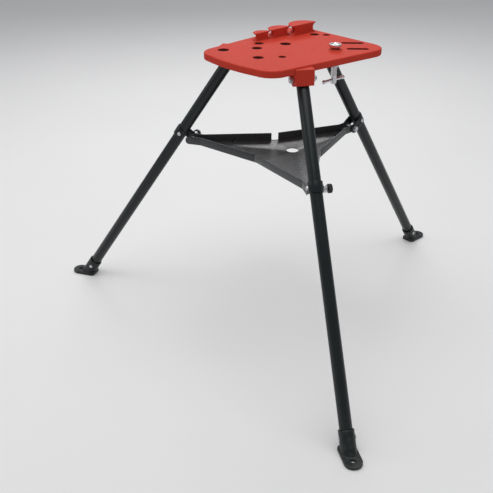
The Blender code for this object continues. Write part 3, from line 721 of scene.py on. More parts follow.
for x, y, radius, pipe in FORMERS:
    groove = [(radius - b, LIP + pipe / 2 + a) for b, a in arc(pipe / 2, -90, 90, 16)]
    outline = [(0.0, -DECK / 2), (radius, -DECK / 2), *groove]
    outline += [(radius, pipe + 2 * LIP), (0.0, pipe + 2 * LIP)]
    former = bmesh.new()
    ring = [former.verts.new((0.0, r, z)) for r, z in outline]
    half = former.faces.new(ring)
    geometry = [*ring, *half.edges, half]
    bmesh.ops.spin(former, geom=geometry, axis=(0, 0, 1), angle=math.pi, steps=36)
    bmesh.ops.remove_doubles(former, verts=former.verts, dist=SAME_SPOT)
    bmesh.ops.recalc_face_normals(former, faces=former.faces)
    fused(casting, moved(former, Matrix.Translation((x, y, 0.0))))
print("formers:", len(FORMERS))

# %% Holes and slots
# x, y and diameter of each hole, from the middle of the stand
HOLES = (
    (-0.105, -0.128, 0.030),
    (-0.094, -0.011, 0.026),
    (-0.060, -0.050, 0.028),
    (0.012, -0.112, 0.028),
    (0.048, -0.062, 0.020),
    (-0.042, 0.038, 0.030),
    (-0.064, 0.174, 0.026),
    (-0.037, 0.194, 0.020),
)
# Both ends of each slot
SLOTS = ((0.058, 0.163, 0.088, 0.194), (0.110, 0.126, 0.138, 0.156))
SLOT_HALF = 0.009
BRACE_SCREW = 0.008
CASTING_GRAIN = 0.0009
CASTING_PASSES = 12
CASTING_KEEP = 0.19
CASTING_BEND = 0.0022

for x, y, width in HOLES:
    carved(casting, moved(round_bar(width / 2, -2 * SKIRT, SKIRT), Matrix.Translation((x, y, 0.0))))
for x0, y0, x1, y1 in SLOTS:
    slot = bmesh.new()
    for x, y in ((x0, y0), (x1, y1)):
        for z in (-2 * SKIRT, SKIRT):
            place = Matrix.Translation((x, y, z))
            bmesh.ops.create_circle(slot, segments=32, radius=SLOT_HALF, matrix=place)
    bmesh.ops.convex_hull(slot, input=slot.verts)
    carved(casting, slot)
drill = round_bar(BRACE_SCREW + BOLT_PLAY, -2 * BOSS_DEPTH, SKIRT)
carved(casting, moved(drill, Matrix.Translation(BRACE)))
for leg in LEGS:
    across = top_frame.inverted() @ upright_frames[leg] @ ALONG_Y
    carved(casting, moved(round_bar(PIVOT_BOLT + BOLT_PLAY, -2 * cheek_face, 2 * cheek_face), across))

cast(casting, CASTING_GRAIN, CASTING_PASSES, CASTING_KEEP)
mark_bends(casting.data, CASTING_BEND)
cuts = [((x, y), (x, y), width / 2) for x, y, width in HOLES]
cuts += [((x0, y0), (x1, y1), SLOT_HALF) for x0, y0, x1, y1 in SLOTS]
mark_bores(casting.data, cuts)
bench_top = dress("bench_top", mesh_of(casting), top_frame, red_coat, NO_CREASE)
weigh_normals(bench_top)
print("bench top triangles:", triangle_count(bench_top.data))

# %% [markdown]
# ## Legs
# A leg is a drawn tube with a plug pressed in its top end and a cast foot on its bottom end. All three are
# alike, so each shape is made once in the leg's own frame, with Z along the tube and zero at the pivot,
# and is then placed three times. The tube is drilled across for its pivot bush, bracket bolt and foot pin.

# %% Tube, plug and bush
TUBE_HEAD = 0.012
TUBE_STOP = 0.022
FOOT_PIN = 0.003
FOOT_PIN_UP = 0.042
PIVOT_BUSH = 0.008
BRACKET_BOLT = 0.003
PLUG_DEPTH = 0.003
PLUG_CAP = 0.003

leg_length = pivot_height / math.cos(lean)
tube_end = TUBE_STOP - leg_length
foot_pin_z = FOOT_PIN_UP - leg_length
hinge = Vector(joints["tray_fold"]["pos_m"])
pin_spot = leg_frames["rear"].inverted() @ hinge
pin_z = pin_spot.z
bore = TUBE - TUBE_WALL

leg_tube = as_object(broken(tube(TUBE, bore, tube_end, TUBE_HEAD, 64), TUBE_BREAK))
for z, radius in ((0.0, PIVOT_BUSH), (pin_z, BRACKET_BOLT), (foot_pin_z, FOOT_PIN)):
    drill = round_bar(radius + GAP, -2 * TUBE, 2 * TUBE, 32)
    carved(leg_tube, moved(drill, Matrix.Translation((0, 0, z)) @ ALONG_Y))
leg_tube = mesh_of(leg_tube)

cap = TUBE_HEAD + GAP
plug_line = [(0.0, cap - PLUG_DEPTH), (bore - GAP, cap - PLUG_DEPTH), (bore - GAP, cap), (TUBE, cap)]
plug_line += arc(PLUG_CAP, 0, 90, 6, (TUBE - PLUG_CAP, cap)) + [(0.0, cap + PLUG_CAP)]
leg_plug = mesh_of(as_object(turned(plug_line)))
bush_half = socket_half - GAP
bush = broken(tube(PIVOT_BUSH, PIVOT_BOLT + BOLT_PLAY, -bush_half, bush_half, 40), STRAP_BREAK)
pivot_bush = mesh_of(as_object(moved(bush, ALONG_Y)))

for leg in LEGS:
    dress("leg_tube_" + leg, leg_tube, leg_frames[leg], black_coat)
    dress("leg_plug_" + leg, leg_plug, leg_frames[leg], plastic)
    dress("pivot_bush_" + leg, pivot_bush, leg_frames[leg], zinc)
print("leg length from pivot to floor:", round(leg_length, 4))

# %% [markdown]
# The foot is a casting too: a sleeve that leans with the tube, on a flat shoe with a hole in its round toe
# for a floor bolt. The shoe is the hull of a round toe and two smaller rounds at the heel.

# %% Feet
FOOT_HALF = 0.023
FOOT_THICK = 0.009
FOOT_TOE = 0.027
FOOT_HEEL = 0.031
HEEL_RADIUS = 0.010
FOOT_HOLE = 0.006
SLEEVE_WALL = 0.0035
SLEEVE_LENGTH = 0.062
RIVET_HEAD = 0.0055
RIVET_RISE = 0.0022
RIVET_FLAT = 0.2
FOOT_GRAIN = 0.0011
FOOT_PASSES = 4
FOOT_KEEP = 0.6
FOOT_WEAR = 0.0018

foot_out = pivot_height * math.tan(lean)
to_leg = Matrix.Rotation(-lean, 4, "Y")
sleeve = TUBE + GAP + SLEEVE_WALL
ground = -pivot_height
heel = foot_out - FOOT_HEEL + HEEL_RADIUS
shoe = bmesh.new()
rounds = [(foot_out + FOOT_TOE, 0.0, FOOT_HALF)]
rounds += [(heel, side * (FOOT_HALF - HEEL_RADIUS), HEEL_RADIUS) for side in (-1, 1)]
for x, y, radius in rounds:
    for z in (ground, ground + FOOT_THICK):
        place = Matrix.Translation((x, y, z))
        bmesh.ops.create_circle(shoe, segments=48, radius=radius, matrix=place)
bmesh.ops.convex_hull(shoe, input=shoe.verts)
foot = as_object(shoe)
stem = as_object(moved(round_bar(sleeve, -leg_length - 2 * TUBE, SLEEVE_LENGTH - leg_length), to_leg))
reach = 4 * FOOT_HALF
low = (foot_out - reach, -reach, ground - reach)
carved(stem, block(low, (foot_out + reach, reach, ground + FOOT_THICK / 3)))
fused(foot, bmesh_of(stem))
carved(foot, moved(round_bar(TUBE + 2 * GAP, tube_end - GAP, tube_end + reach), to_leg))
toe = Matrix.Translation((foot_out + FOOT_TOE, 0.0, ground))
carved(foot, moved(round_bar(FOOT_HOLE, -FOOT_THICK, 2 * FOOT_THICK), toe))
cast(foot, FOOT_GRAIN, FOOT_PASSES, FOOT_KEEP)
mark_bends(foot.data, FOOT_WEAR)
foot = mesh_of(foot)

head = sleeve + GAP
dome = [(0.0, head + RIVET_RISE)]
angles = np.linspace(RIVET_FLAT, math.pi / 2, 7)
dome += [(RIVET_HEAD * math.sin(a), head + RIVET_RISE * math.cos(a)) for a in angles]
rivet_line = dome + [(FOOT_PIN, head)] + [(FOOT_PIN, -head)] + [(r, -z) for r, z in reversed(dome)]
place = Matrix.Translation((0, 0, foot_pin_z)) @ ALONG_Y
foot_pin = mesh_of(as_object(moved(turned(rivet_line, 32), place)))

for leg in LEGS:
    shod = dress("foot_" + leg, foot, upright_frames[leg], black_coat, NO_CREASE)
    weigh_normals(shod)
    dress("foot_pin_" + leg, foot_pin, leg_frames[leg], zinc)
print("foot triangles:", triangle_count(foot))

# %% [markdown]
# ## Brackets
# Each bracket is a steel strap bent round the outer side of its tube. The rear one has two long cheeks and
# holds the tray's hinge bolt. A front one has one long cheek, on the side of its pull pin, and lets the
# tray's arm swing away on the other side. The strap is lifted from its outline, then cut to its round ear.

# %% Brackets
STRAP = 0.003
EAR = 0.014
TRAY_PIN = 0.004

strap_in = TUBE + GAP
strap_out = strap_in + STRAP
short_end = -TUBE / 3
long_end = pin_spot.x - EAR
ear_view = arc(EAR, 90, 270, 24, (pin_spot.x, pin_z)) + [(2 * TUBE, pin_z - EAR), (2 * TUBE, pin_z + EAR)]

for leg in LEGS:
    ends = {side: long_end if leg == "rear" or side == sides[leg] else short_end for side in (-1, 1)}
    outline = arc(strap_out, -90, 90, 32)
    outline += [(ends[1], strap_out), (ends[1], strap_in)]
    outline += arc(strap_in, 90, -90, 32)
    outline += [(ends[-1], -strap_in), (ends[-1], -strap_out)]
    bracket = as_object(slab(outline, pin_z - 2 * EAR, pin_z + 2 * EAR))
    combined(bracket, moved(slab(ear_view, -2 * TUBE, 2 * TUBE), ALONG_Y), "INTERSECT")
    for x, radius in ((pin_spot.x, TRAY_PIN + BOLT_PLAY), (0.0, BRACKET_BOLT + GAP)):
        drill = round_bar(radius, -2 * TUBE, 2 * TUBE, 32)
        carved(bracket, moved(drill, Matrix.Translation((x, 0, pin_z)) @ ALONG_Y))
    softened(bracket, STRAP_BREAK)
    dress("tray_bracket_" + leg, mesh_of(bracket), leg_frames[leg], black_coat)
print("brackets:", len(LEGS))

# %% [markdown]
# ## Tray
# The tray is one sheet with three arms, folded up all round. The block of its outline is hollowed with an
# inset, as a deep pressing would be, and both fold lines are bevelled so that the sheet bends instead of
# creasing. The rims have a gap in the middle of each long side, where the sheet was notched for folding.

# %% Tray
RIM = 0.012
SHEET = 0.002
APEX = 0.105
NECK = 0.034
NOTCH = 0.010
FLOOR_SHORT = 0.004
TRAY_HOLE = 0.017
TRAY_HOLE_Y = 0.034
FOLD = 0.0032
BEND = 0.014
BEND_LIMIT = math.radians(60)
NOSE_ARC = (80, -80)
SPACER = 0.007

arm_half = strap_in - SIDE_GAP
hinge_radius = hinge.y - middle.y
tray_frame = Matrix.Translation((middle.x, middle.y, hinge.z))
spare = 2 * RIM
outline = []
for turn in sorted(turns.values()):
    swing = Matrix.Rotation(turn, 2)
    near, far = hinge_radius - NECK, hinge_radius + RIM + spare
    for spot in ((near, -arm_half), (far, -arm_half), (far, arm_half), (near, arm_half)):
        outline.append(tuple(swing @ Vector(spot)))
    outline.append(tuple(Matrix.Rotation(turn + math.pi / 3, 2) @ Vector((APEX, 0.0))))
sheet = slab(outline, -RIM, RIM)
bends = [e for e in uprights(sheet) if e.calc_face_angle() < BEND_LIMIT]
rounded(sheet, bends, BEND, 6)
upper = max(sheet.faces, key=lambda face: face.calc_center_median().z)
lower = min(sheet.faces, key=lambda face: face.calc_center_median().z)
bmesh.ops.inset_region(sheet, faces=[upper], thickness=SHEET, use_even_offset=True)
floor_face = bmesh.ops.extrude_discrete_faces(sheet, faces=[upper])["faces"][0]
bmesh.ops.translate(sheet, vec=(0, 0, SHEET - 2 * RIM), verts=floor_face.verts)
bevelled(sheet, list(floor_face.edges), FOLD - SHEET, 3)
bevelled(sheet, list(lower.edges), FOLD, 5)
bmesh.ops.recalc_face_normals(sheet, faces=sheet.faces)

tray = as_object(sheet)
wall = arm_half - SHEET
nose = arc(RIM, *NOSE_ARC, 24, (hinge_radius, 0.0))
nose += [(nose[-1][0], -2 * RIM), (hinge_radius + 2 * spare, -2 * RIM)]
nose += [(hinge_radius + 2 * spare, 2 * RIM), (nose[0][0], 2 * RIM)]
for leg in LEGS:
    arm = Matrix.Rotation(turns[leg], 4, "Z")
    gap_low = (hinge_radius - FLOOR_SHORT, -wall + GAP, -2 * RIM)
    carved(tray, moved(block(gap_low, (hinge_radius + 2 * spare, wall - GAP, 2 * RIM)), arm))
    carved(tray, moved(slab(nose, -2 * arm_half, 2 * arm_half), arm @ ALONG_Y))
    start = -2 * arm_half if leg == "rear" else 0.0
    drill = round_bar(TRAY_PIN + BOLT_PLAY, start, 2 * arm_half, 32)
    carved(tray, moved(drill, arm @ Matrix.Translation((hinge_radius, 0, 0)) @ outward(sides[leg])))
    notch_low = (APEX - 5 * RIM, -NOTCH, SHEET * 1.5 - RIM)
    notch = block(notch_low, (APEX + 5 * RIM, NOTCH, 2 * RIM))
    carved(tray, moved(notch, arm @ Matrix.Rotation(math.pi / 3, 4, "Z")))
carved(tray, moved(round_bar(TRAY_HOLE, -2 * RIM, 0.0), Matrix.Translation((0, TRAY_HOLE_Y, 0))))
softened(tray, SHEET_BREAK)
dress("tray", mesh_of(tray), tray_frame, tray_coat)

spacer_half = wall - GAP
spacer = broken(tube(SPACER, TRAY_PIN + BOLT_PLAY, -spacer_half, spacer_half, 32), SHEET_BREAK)
across = Matrix.Translation(hinge) @ Matrix.Rotation(math.pi / 2, 4, "Y")
dress("tray_hinge_spacer", mesh_of(as_object(spacer)), across, zinc)
print("tray arm length:", round(hinge_radius, 4))

# %% [markdown]
# ## Fasteners
# A bolt head or nut is a hexagon with its corners turned off, so it is the part that a hexagon and a turned
# shape have in common. A thread is a small section spun along its axis: the spin moves up by one pitch for
# each turn, and the ends are cut flat. The lock nuts carry a white nylon ring in a collar.

# %% Hexagons and threads
# Pitch of a coarse thread for each diameter, and a thread's depth as a share of its pitch
COARSE = {0.010: 0.0015, 0.008: 0.00125, 0.006: 0.001}
THREAD_DEPTH = 0.6
CORNER = 2 / math.sqrt(3)
# Shares of a hexagon's size: how deep its corners are turned off, and from which radius to which
CORNER_CUT = 0.25
CORNER_FROM = 0.95
CORNER_TO = 1.02
# Shares of a lock nut's height and width, then lengths
COLLAR = 0.70
RING_LOW = 0.71
COLLAR_WIDTH = 0.93
RING_SEAT = 0.80
COLLAR_ROUND = 0.001
RING_SUNK = 0.0012
RING_GAP = 0.0001


def hexagon(flats, low, high, ends):
    """A hexagonal block whose corners are turned off at the ends that are named."""
    across = flats * CORNER / 2
    cut = CORNER_CUT * across
    rim, side = CORNER_FROM * flats / 2, CORNER_TO * across
    line = [(0.0, low)]
    line += [(rim, low), (side, low + cut)] if "low" in ends else [(2 * across, low)]
    line += [(side, high - cut), (rim, high)] if "high" in ends else [(2 * across, high)]
    piece = as_object(slab(arc(across, 0, 300, 5), low, high))
    return combined(piece, turned(line + [(0.0, high)]), "INTERSECT")


def threaded(radius, depth, pitch, low, high, crest=0.25, steps=32):
    """A screw from one height to another: a saw-tooth line spun upwards, then cut flat at both ends."""
    flat, root = crest * pitch / 2, radius - depth
    half = pitch / 2
    section = [(root, -half), (root, flat - half), (radius, -flat)]
    section += [(radius, flat), (root, half - flat), (root, half)]
    bm = bmesh.new()
    points = [bm.verts.new((r, 0.0, low - pitch + z)) for r, z in section]
    edges = [bm.edges.new(pair) for pair in zip(points, points[1:])]
    rounds = math.ceil((high - low) / pitch) + 2
    bmesh.ops.spin(
        bm,
        geom=points + edges,
        axis=(0, 0, 1),
        dvec=(0, 0, pitch / steps),
        angle=2 * math.pi * rounds,
        steps=steps * rounds,
    )
    bmesh.ops.remove_doubles(bm, verts=bm.verts, dist=SAME_SPOT)
    for height, way in ((low, -1), (high, 1)):
        everything = bm.verts[:] + bm.edges[:] + bm.faces[:]
        at, facing = (0, 0, height), (0, 0, way)
        bmesh.ops.bisect_plane(bm, geom=everything, plane_co=at, plane_no=facing, clear_outer=True)
        bmesh.ops.holes_fill(bm, edges=[e for e in bm.edges if e.is_boundary])
    bmesh.ops.recalc_face_normals(bm, faces=bm.faces)
    return bm


def bolt(radius, flats, head, length, grip):
    """A hexagon bolt whose head seats at zero. Its thread starts at the end of the grip."""
    pitch = COARSE[radius * 2]
    depth = THREAD_DEPTH * pitch
    piece = hexagon(flats, -head, 0.0, ("low",))
    fused(piece, round_bar(radius, -head / 2, grip, 40))
    thread = as_object(threaded(radius, depth, pitch, grip - pitch, length))
    line = [(0.0, grip - pitch), (2 * radius, grip - pitch), (2 * radius, length - 2 * radius - depth)]
    line += [(radius - depth, length), (0.0, length)]
    combined(thread, turned(line), "INTERSECT")
    fused(piece, bmesh_of(thread))
    return mesh_of(piece)


def lock_nut(radius, flats, height):
    """A nut with a round collar for its nylon ring. It seats at zero."""
    collar = COLLAR * height
    piece = hexagon(flats, 0.0, collar, ("low", "high"))
    outer = COLLAR_WIDTH * flats / 2
    line = [(0.0, collar / 2), (outer, collar / 2), (outer, height - COLLAR_ROUND)]
    line += arc(COLLAR_ROUND, 0, 90, 4, (outer - COLLAR_ROUND, height - COLLAR_ROUND)) + [(0.0, height)]
    fused(piece, turned(line))
    carved(piece, round_bar(radius + GAP, -height, 2 * height, 40))
    carved(piece, round_bar(RING_SEAT * flats / 2, collar, 2 * height, 40))
    return mesh_of(piece)


def nylon_ring(node, radius, flats, height, place):
    """The white ring in a lock nut's collar. It rides on the nut's body."""
    low, high = RING_LOW * height, height - RING_SUNK
    ring = broken(tube(RING_SEAT * flats / 2 - RING_GAP, radius + RING_GAP, low, high, 40), DISC_BREAK)
    made = bpy.data.objects.new(node + "_ring", mesh_of(as_object(moved(ring, place))))
    made.data.materials.append(nylon.material)
    made.data.shade_smooth()
    made.data.set_sharp_from_angle(angle=math.radians(CREASE))
    bpy.context.scene.collection.objects.link(made)
    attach(made, frame["nodes"][node]["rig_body"])


print("thread pitches:", len(COARSE))

# %% Bolts, nuts and washers
BOLT_TAIL = 0.003
THREAD_START = 0.002
WASHER = 0.002
WASHER_RADIUS = 0.0105
HINGE_WASHER = 0.0016
HINGE_WASHER_RADIUS = 0.008
# Radius of a bolt, its width across flats, and the heights of its head and nut
PIVOT_SIZE = (PIVOT_BOLT, 0.017, 0.0064, 0.009)
BRACKET_SIZE = (BRACKET_BOLT, 0.010, 0.004, 0.006)
HINGE_SIZE = (TRAY_PIN, 0.013, 0.0053, 0.008)


def washer(bore, radius, low, thick):
    return mesh_of(as_object(broken(tube(radius, bore, low, low + thick), DISC_BREAK)))


def clamp(names, place, size, seat, washers):
    """One bolt through a joint, its nut on the far side, and washers if it has them."""
    radius, flats, head, nut = size
    length = 2 * seat + nut + BOLT_TAIL * (0.5 if washers is None else 1.0)
    near = place @ Matrix.Translation((0, 0, -seat))
    far = place @ Matrix.Translation((0, 0, seat))
    dress(names["bolt"], bolt(radius, flats, head, length, 2 * seat - THREAD_START), near, zinc)
    dress(names["nut"], lock_nut(radius, flats, nut), far, zinc)
    nylon_ring(names["nut"], radius, flats, nut, far)
    if washers:
        disc = washer(*washers)
        dress(names["nut_washer"], disc, place, zinc)
        dress(names["head_washer"], disc, place @ Matrix.Rotation(math.pi, 4, "X"), zinc)


for leg in LEGS:
    across = outward(sides[leg])
    low = cheek_face + GAP
    names = {kind: f"pivot_{kind}_{leg}" for kind in ("bolt", "nut", "nut_washer", "head_washer")}
    disc = (PIVOT_BOLT + GAP, WASHER_RADIUS, low, WASHER)
    clamp(names, upright_frames[leg] @ across, PIVOT_SIZE, low + WASHER + GAP, disc)
    names = {kind: f"bracket_{kind}_{leg}" for kind in ("bolt", "nut")}
    place = leg_frames[leg] @ Matrix.Translation((0, 0, pin_z)) @ across
    clamp(names, place, BRACKET_SIZE, strap_out + GAP, None)

names = {kind: "tray_hinge_" + kind for kind in ("bolt", "nut", "nut_washer", "head_washer")}
low = strap_out + GAP
disc = (TRAY_PIN + GAP, HINGE_WASHER_RADIUS, low, HINGE_WASHER)
place = leg_frames["rear"] @ Matrix.Translation(pin_spot) @ outward(1)
clamp(names, place, HINGE_SIZE, low + HINGE_WASHER + GAP, disc)
print("clamped joints:", 2 * len(LEGS) + 1)

# %% [markdown]
# ## Pull pins
# A sprung pin holds each front arm of the tray in its bracket. The housing, pin and knob are turned. The
# knob's grip is cut by a ring of small bars. The spring is a round wire spun along its axis.

# %% Pull pins
HOUSING = 0.0095
HOUSING_WALL = 0.003
HOUSING_LENGTH = 0.0188
HOUSING_END = 0.0025
HOUSING_CHAMFER = 0.0012
GRIP_DEPTH = 0.0006
GRIP_LOW = 0.004
GRIP_HIGH = 0.0068
PIN_COLLAR = 0.0061
PIN_COLLAR_THICK = 0.002
PIN_CHAMFER = 0.0015
PIN_REACH = 0.007
KNOB = 0.012
KNOB_LENGTH = 0.012
KNOB_GAP = 0.0012
KNOB_ROUND = 0.0025
KNOB_FLARE = 0.002
KNOB_SKIN = 0.003
KNOB_DISH = 0.0008
# Shares of the knob's radius: its foot, and the dish in its end
KNOB_FOOT = 0.75
DISH_WIDTH = 0.45
KNOB_FLUTES = 14
FLUTE = 0.0022
OVERLAP = 0.001
WIRE = 0.0005
SPRING_MEAN = 0.00525
SPRING_TURNS = 4
SPRING_STEPS = 28
PULL = joints["pin_pull_front_left"]["range_m"][1]

base = strap_out + GAP
room_end = base + HOUSING_LENGTH - HOUSING_END
housing_end = base + HOUSING_LENGTH
inside = HOUSING - HOUSING_WALL
grip = HOUSING - GRIP_DEPTH
line = [(inside, base), (HOUSING, base), (HOUSING, base + GRIP_LOW)]
line += [(grip, base + GRIP_LOW + GRIP_DEPTH), (grip, base + GRIP_HIGH - GRIP_DEPTH)]
line += [(HOUSING, base + GRIP_HIGH), (HOUSING, housing_end - HOUSING_CHAMFER)]
line += [(HOUSING - HOUSING_CHAMFER, housing_end)]
line += [(TRAY_PIN + BOLT_PLAY, housing_end), (TRAY_PIN + BOLT_PLAY, room_end), (inside, room_end)]
housing = mesh_of(as_object(broken(turned(line, 48, closed=True), PIN_BREAK)))

collar_low = base + GAP
collar_high = collar_low + PIN_COLLAR_THICK
pin_tip = strap_in - PIN_REACH
knob_low = housing_end + KNOB_GAP
knob_high = knob_low + KNOB_LENGTH
line = [(0.0, pin_tip), (TRAY_PIN - PIN_CHAMFER, pin_tip), (TRAY_PIN, pin_tip + PIN_CHAMFER)]
line += [(TRAY_PIN, collar_low)]
line += [(PIN_COLLAR, collar_low), (PIN_COLLAR, collar_high), (TRAY_PIN, collar_high)]
line += [(TRAY_PIN, knob_high - KNOB_SKIN), (0.0, knob_high - KNOB_SKIN)]
pull_pin = mesh_of(as_object(broken(turned(line, 32), PIN_BREAK)))

round_edge = arc(KNOB_ROUND, 0, 90, 5, (KNOB - KNOB_ROUND, knob_high - KNOB_ROUND))
line = [(TRAY_PIN + GAP, knob_low), (KNOB_FOOT * KNOB, knob_low), (KNOB, knob_low + KNOB_FLARE)]
line += round_edge
line += [(DISH_WIDTH * KNOB, knob_high - KNOB_DISH / 2), (0.0, knob_high - KNOB_DISH)]
line += [(0.0, knob_high - KNOB_SKIN + GAP), (TRAY_PIN + GAP, knob_high - KNOB_SKIN + GAP)]
knob = as_object(turned(line, 56, closed=True))
for i in range(KNOB_FLUTES):
    spun = Matrix.Rotation(2 * math.pi * i / KNOB_FLUTES, 4, "Z")
    flute = round_bar(FLUTE, knob_low - OVERLAP, knob_high + OVERLAP, 20)
    carved(knob, moved(flute, spun @ Matrix.Translation((KNOB + FLUTE / 2, 0, 0))))
softened(knob, PIN_BREAK)
knob = mesh_of(knob)

spring_low = collar_high + WIRE + GAP
spring_high = room_end - WIRE - GAP
coil = bmesh.new()
ring = [coil.verts.new((SPRING_MEAN + r, 0.0, spring_low + z)) for r, z in arc(WIRE, 0, 330, 11)]
face = coil.faces.new(ring)
climb = (spring_high - spring_low) / (SPRING_TURNS * SPRING_STEPS)
bmesh.ops.spin(
    coil,
    geom=[face],
    axis=(0, 0, 1),
    dvec=(0, 0, climb),
    angle=2 * math.pi * SPRING_TURNS,
    steps=SPRING_STEPS * SPRING_TURNS,
)
bmesh.ops.recalc_face_normals(coil, faces=coil.faces)
spring = mesh_of(as_object(coil))

keep = (room_end - collar_high - PULL) / (room_end - collar_high)
for leg in PIN_LEGS:
    place = leg_frames[leg] @ Matrix.Translation(pin_spot) @ outward(sides[leg])
    dress("pin_housing_" + leg, housing, place, zinc)
    dress("pull_pin_" + leg, pull_pin, place, bright)
    dress("pin_knob_" + leg, knob, place, plastic)
    wound = dress("pin_spring_" + leg, spring, place, bright)
    place @ Vector((0, 0, room_end))
    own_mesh(wound)
print("pull pins:", len(PIN_LEGS), "spring keeps", round(keep, 2))

# %% [markdown]
# ## Ceiling brace
# The stand is wedged under a ceiling with a length of pipe. Its lower end sits in the cup, and the screw
# under the deck pushes the cup up. The screw has a square-shouldered thread that climbs one pitch a turn,
# so it stays in mesh with the boss when it is turned by its bar.

# %% Brace screw, cup, nut and bar
BRACE_NUT = 0.024
BRACE_NUT_HIGH = 0.008
BRACE_PITCH = joints["brace_rise"]["range_m"][1] * 360 / joints["brace_turn"]["range_deg"][1]
BRACE_BAR = 0.004
BAR_LENGTH = 0.084
BAR_END = 0.0055
BALL_ARC = (-65, 35)
BAR_BALL = 0.005
BAR_NECK = 0.011
BAR_CLEAR = 2.5
CUP_DISH = 0.003
CUP_FLARE = 0.005
# Shares of the cup's radius
CUP_FOOT = 0.68
CUP_LIP = 0.82
CUP_SEAT = 0.72
GROOVE_OUT = 0.9
CUP_ROUND = 0.0012
CUP_GROOVES = 12
GROOVE = 0.0012
GROOVE_HALF = 0.004
NECK_RADIUS = 0.005
BRACE_CHAMFER = 0.0015
BRACE_THREAD = 0.0014
BRACE_CREST = 0.55
BRACE_SHOULDER = 0.002

brace_place = Matrix.Translation(joints["brace_turn"]["pos_m"])
cup_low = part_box("brace_cup")[0][2] - deck_height
cup_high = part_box("brace_cup")[1][2] - deck_height
screw_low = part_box("brace_screw")[0][2] - deck_height
screw_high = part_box("brace_screw")[1][2] - deck_height
bar_z = (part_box("brace_bar")[0][2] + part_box("brace_bar")[1][2]) / 2 - deck_height

shoulder = cup_low - GAP
thread_low = bar_z + BAR_CLEAR * BAR_END
root = BRACE_SCREW - BRACE_THREAD
line = [(0.0, screw_low), (BRACE_SCREW - BRACE_CHAMFER, screw_low)]
line += [(BRACE_SCREW, screw_low + BRACE_CHAMFER), (BRACE_SCREW, thread_low)]
line += [(root, thread_low + BRACE_THREAD)]
line += [(root, shoulder - BRACE_SHOULDER), (NECK_RADIUS, shoulder - BRACE_SHOULDER)]
line += [(NECK_RADIUS, screw_high), (0.0, screw_high)]
screw = as_object(turned(line))
start = thread_low - OVERLAP
fused(screw, threaded(BRACE_SCREW, BRACE_THREAD, BRACE_PITCH, start, shoulder, BRACE_CREST, 48))
carved(screw, moved(round_bar(BRACE_BAR + GAP, -CUP, CUP, 32), Matrix.Translation((0, 0, bar_z)) @ ALONG_Y))
dress("brace_screw", mesh_of(screw), brace_place, bright)

half = BAR_LENGTH / 2
ball = arc(BAR_END, *BALL_ARC, 8, (0.0, -half + BAR_BALL))
line = [(0.0, -half), *ball, (BRACE_BAR, -half + BAR_NECK)]
line += [(r, -z) for r, z in reversed(line)]
bar = moved(turned(line, 40), brace_place @ Matrix.Translation((0, 0, bar_z)) @ ALONG_Y)
dress("brace_bar", mesh_of(as_object(bar)), Matrix(), bright)

nut_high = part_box("brace_jam_nut")[1][2] - deck_height
jam_nut = hexagon(BRACE_NUT, nut_high - BRACE_NUT_HIGH, nut_high, ("low", "high"))
drill = round_bar(BRACE_SCREW + BOLT_PLAY, nut_high - 2 * BRACE_NUT_HIGH, nut_high + BRACE_NUT_HIGH)
carved(jam_nut, drill)
dress("brace_jam_nut", mesh_of(jam_nut), brace_place, zinc)

cup_floor = cup_high - CUP_DISH
line = [(NECK_RADIUS + BOLT_PLAY, cup_low), (CUP_FOOT * CUP, cup_low), (CUP, cup_low + CUP_FLARE)]
line += arc(CUP_ROUND, 0, 90, 4, (CUP - CUP_ROUND, cup_high - CUP_ROUND))
line += [(CUP_LIP * CUP, cup_high), (CUP_SEAT * CUP, cup_floor), (NECK_RADIUS + BOLT_PLAY, cup_floor)]
cup = as_object(broken(turned(line, 64, closed=True), DISC_BREAK))
groove_view = [(-GROOVE, GROOVE / 2), (0.0, -GROOVE), (GROOVE, GROOVE / 2)]
for i in range(CUP_GROOVES):
    spun = Matrix.Rotation(2 * math.pi * i / CUP_GROOVES, 4, "Z")
    rim = spun @ Matrix.Translation((GROOVE_OUT * CUP, 0, cup_high))
    place = rim @ Matrix.Rotation(math.pi / 2, 4, "Z")
    groove = moved(slab(groove_view, -GROOVE_HALF, GROOVE_HALF), ALONG_Y)
    carved(cup, moved(groove, place))
dress("brace_cup", mesh_of(cup), brace_place, bright)
print("brace screw pitch:", round(BRACE_PITCH, 5))

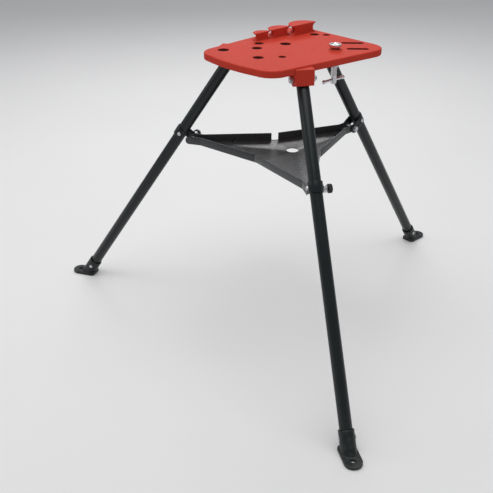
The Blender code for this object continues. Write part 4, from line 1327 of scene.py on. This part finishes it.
# %% [markdown]
# ## Floor, light and camera
# The camera looks from the front right, from above the deck. A big soft light hangs over the stand, a
# second comes from the front left, and a wide one behind it puts a sheen on the tray and along the tubes.

# %% Stage
FLOOR_HALF = 14.0
SKY = (0.93, 0.95, 1.0, 1.0)
SKY_STRENGTH = 0.34
FLOOR_TONES = ((0.86, 0.855, 0.845), (0.90, 0.895, 0.885))
floor_coat = Finish("pale_floor", {"Specular IOR Level": 0.3, "Roughness": 0.62})
floor_coat.surface({"Base Color": floor_coat.mix(floor_coat.noise(1.5), *FLOOR_TONES)})
ground_plane = bmesh.new()
bmesh.ops.create_grid(ground_plane, x_segments=1, y_segments=1, size=FLOOR_HALF)
floor = as_object(ground_plane)
floor.name = "floor"
floor.data.materials.append(floor_coat.material)

bpy.context.scene.view_settings.view_transform = "Standard"
world = bpy.data.worlds.new("studio")
bpy.context.scene.world = world
world.use_nodes = True
background = world.node_tree.nodes["Background"].inputs
background["Color"].default_value = SKY
background["Strength"].default_value = SKY_STRENGTH

LIGHTS = (
    ("overhead", (0.0, -0.2, 4.0), (4.0, 4.0), 95.0),
    ("front_left", (-2.2, -2.4, 2.0), (1.6, 1.6), 10.0),
    ("behind", (-2.3, 1.7, 2.3), (2.2, 0.8), 22.0),
)
aim = Vector((0.0, 0.0, deck_height / 2))
for name, place, size, power in LIGHTS:
    light = bpy.data.lights.new(name, "AREA")
    light.shape = "RECTANGLE"
    light.size, light.size_y = size
    light.energy = power
    lamp = bpy.data.objects.new(name, light)
    lamp.location = place
    lamp.rotation_euler = (aim - Vector(place)).to_track_quat("-Z", "Y").to_euler()
    bpy.context.scene.collection.objects.link(lamp)

EYE = Vector((1.428, -1.602, 1.310))
LOOK = Vector((0.0, -0.3152, 0.2603))
LENS = 56.0
camera = bpy.data.objects.new("camera", bpy.data.cameras.new("camera"))
camera.data.lens = LENS
camera.location = EYE
camera.rotation_euler = (LOOK - EYE).to_track_quat("-Z", "Y").to_euler()
bpy.context.scene.collection.objects.link(camera)
bpy.context.scene.camera = camera
print("lights:", len(LIGHTS))
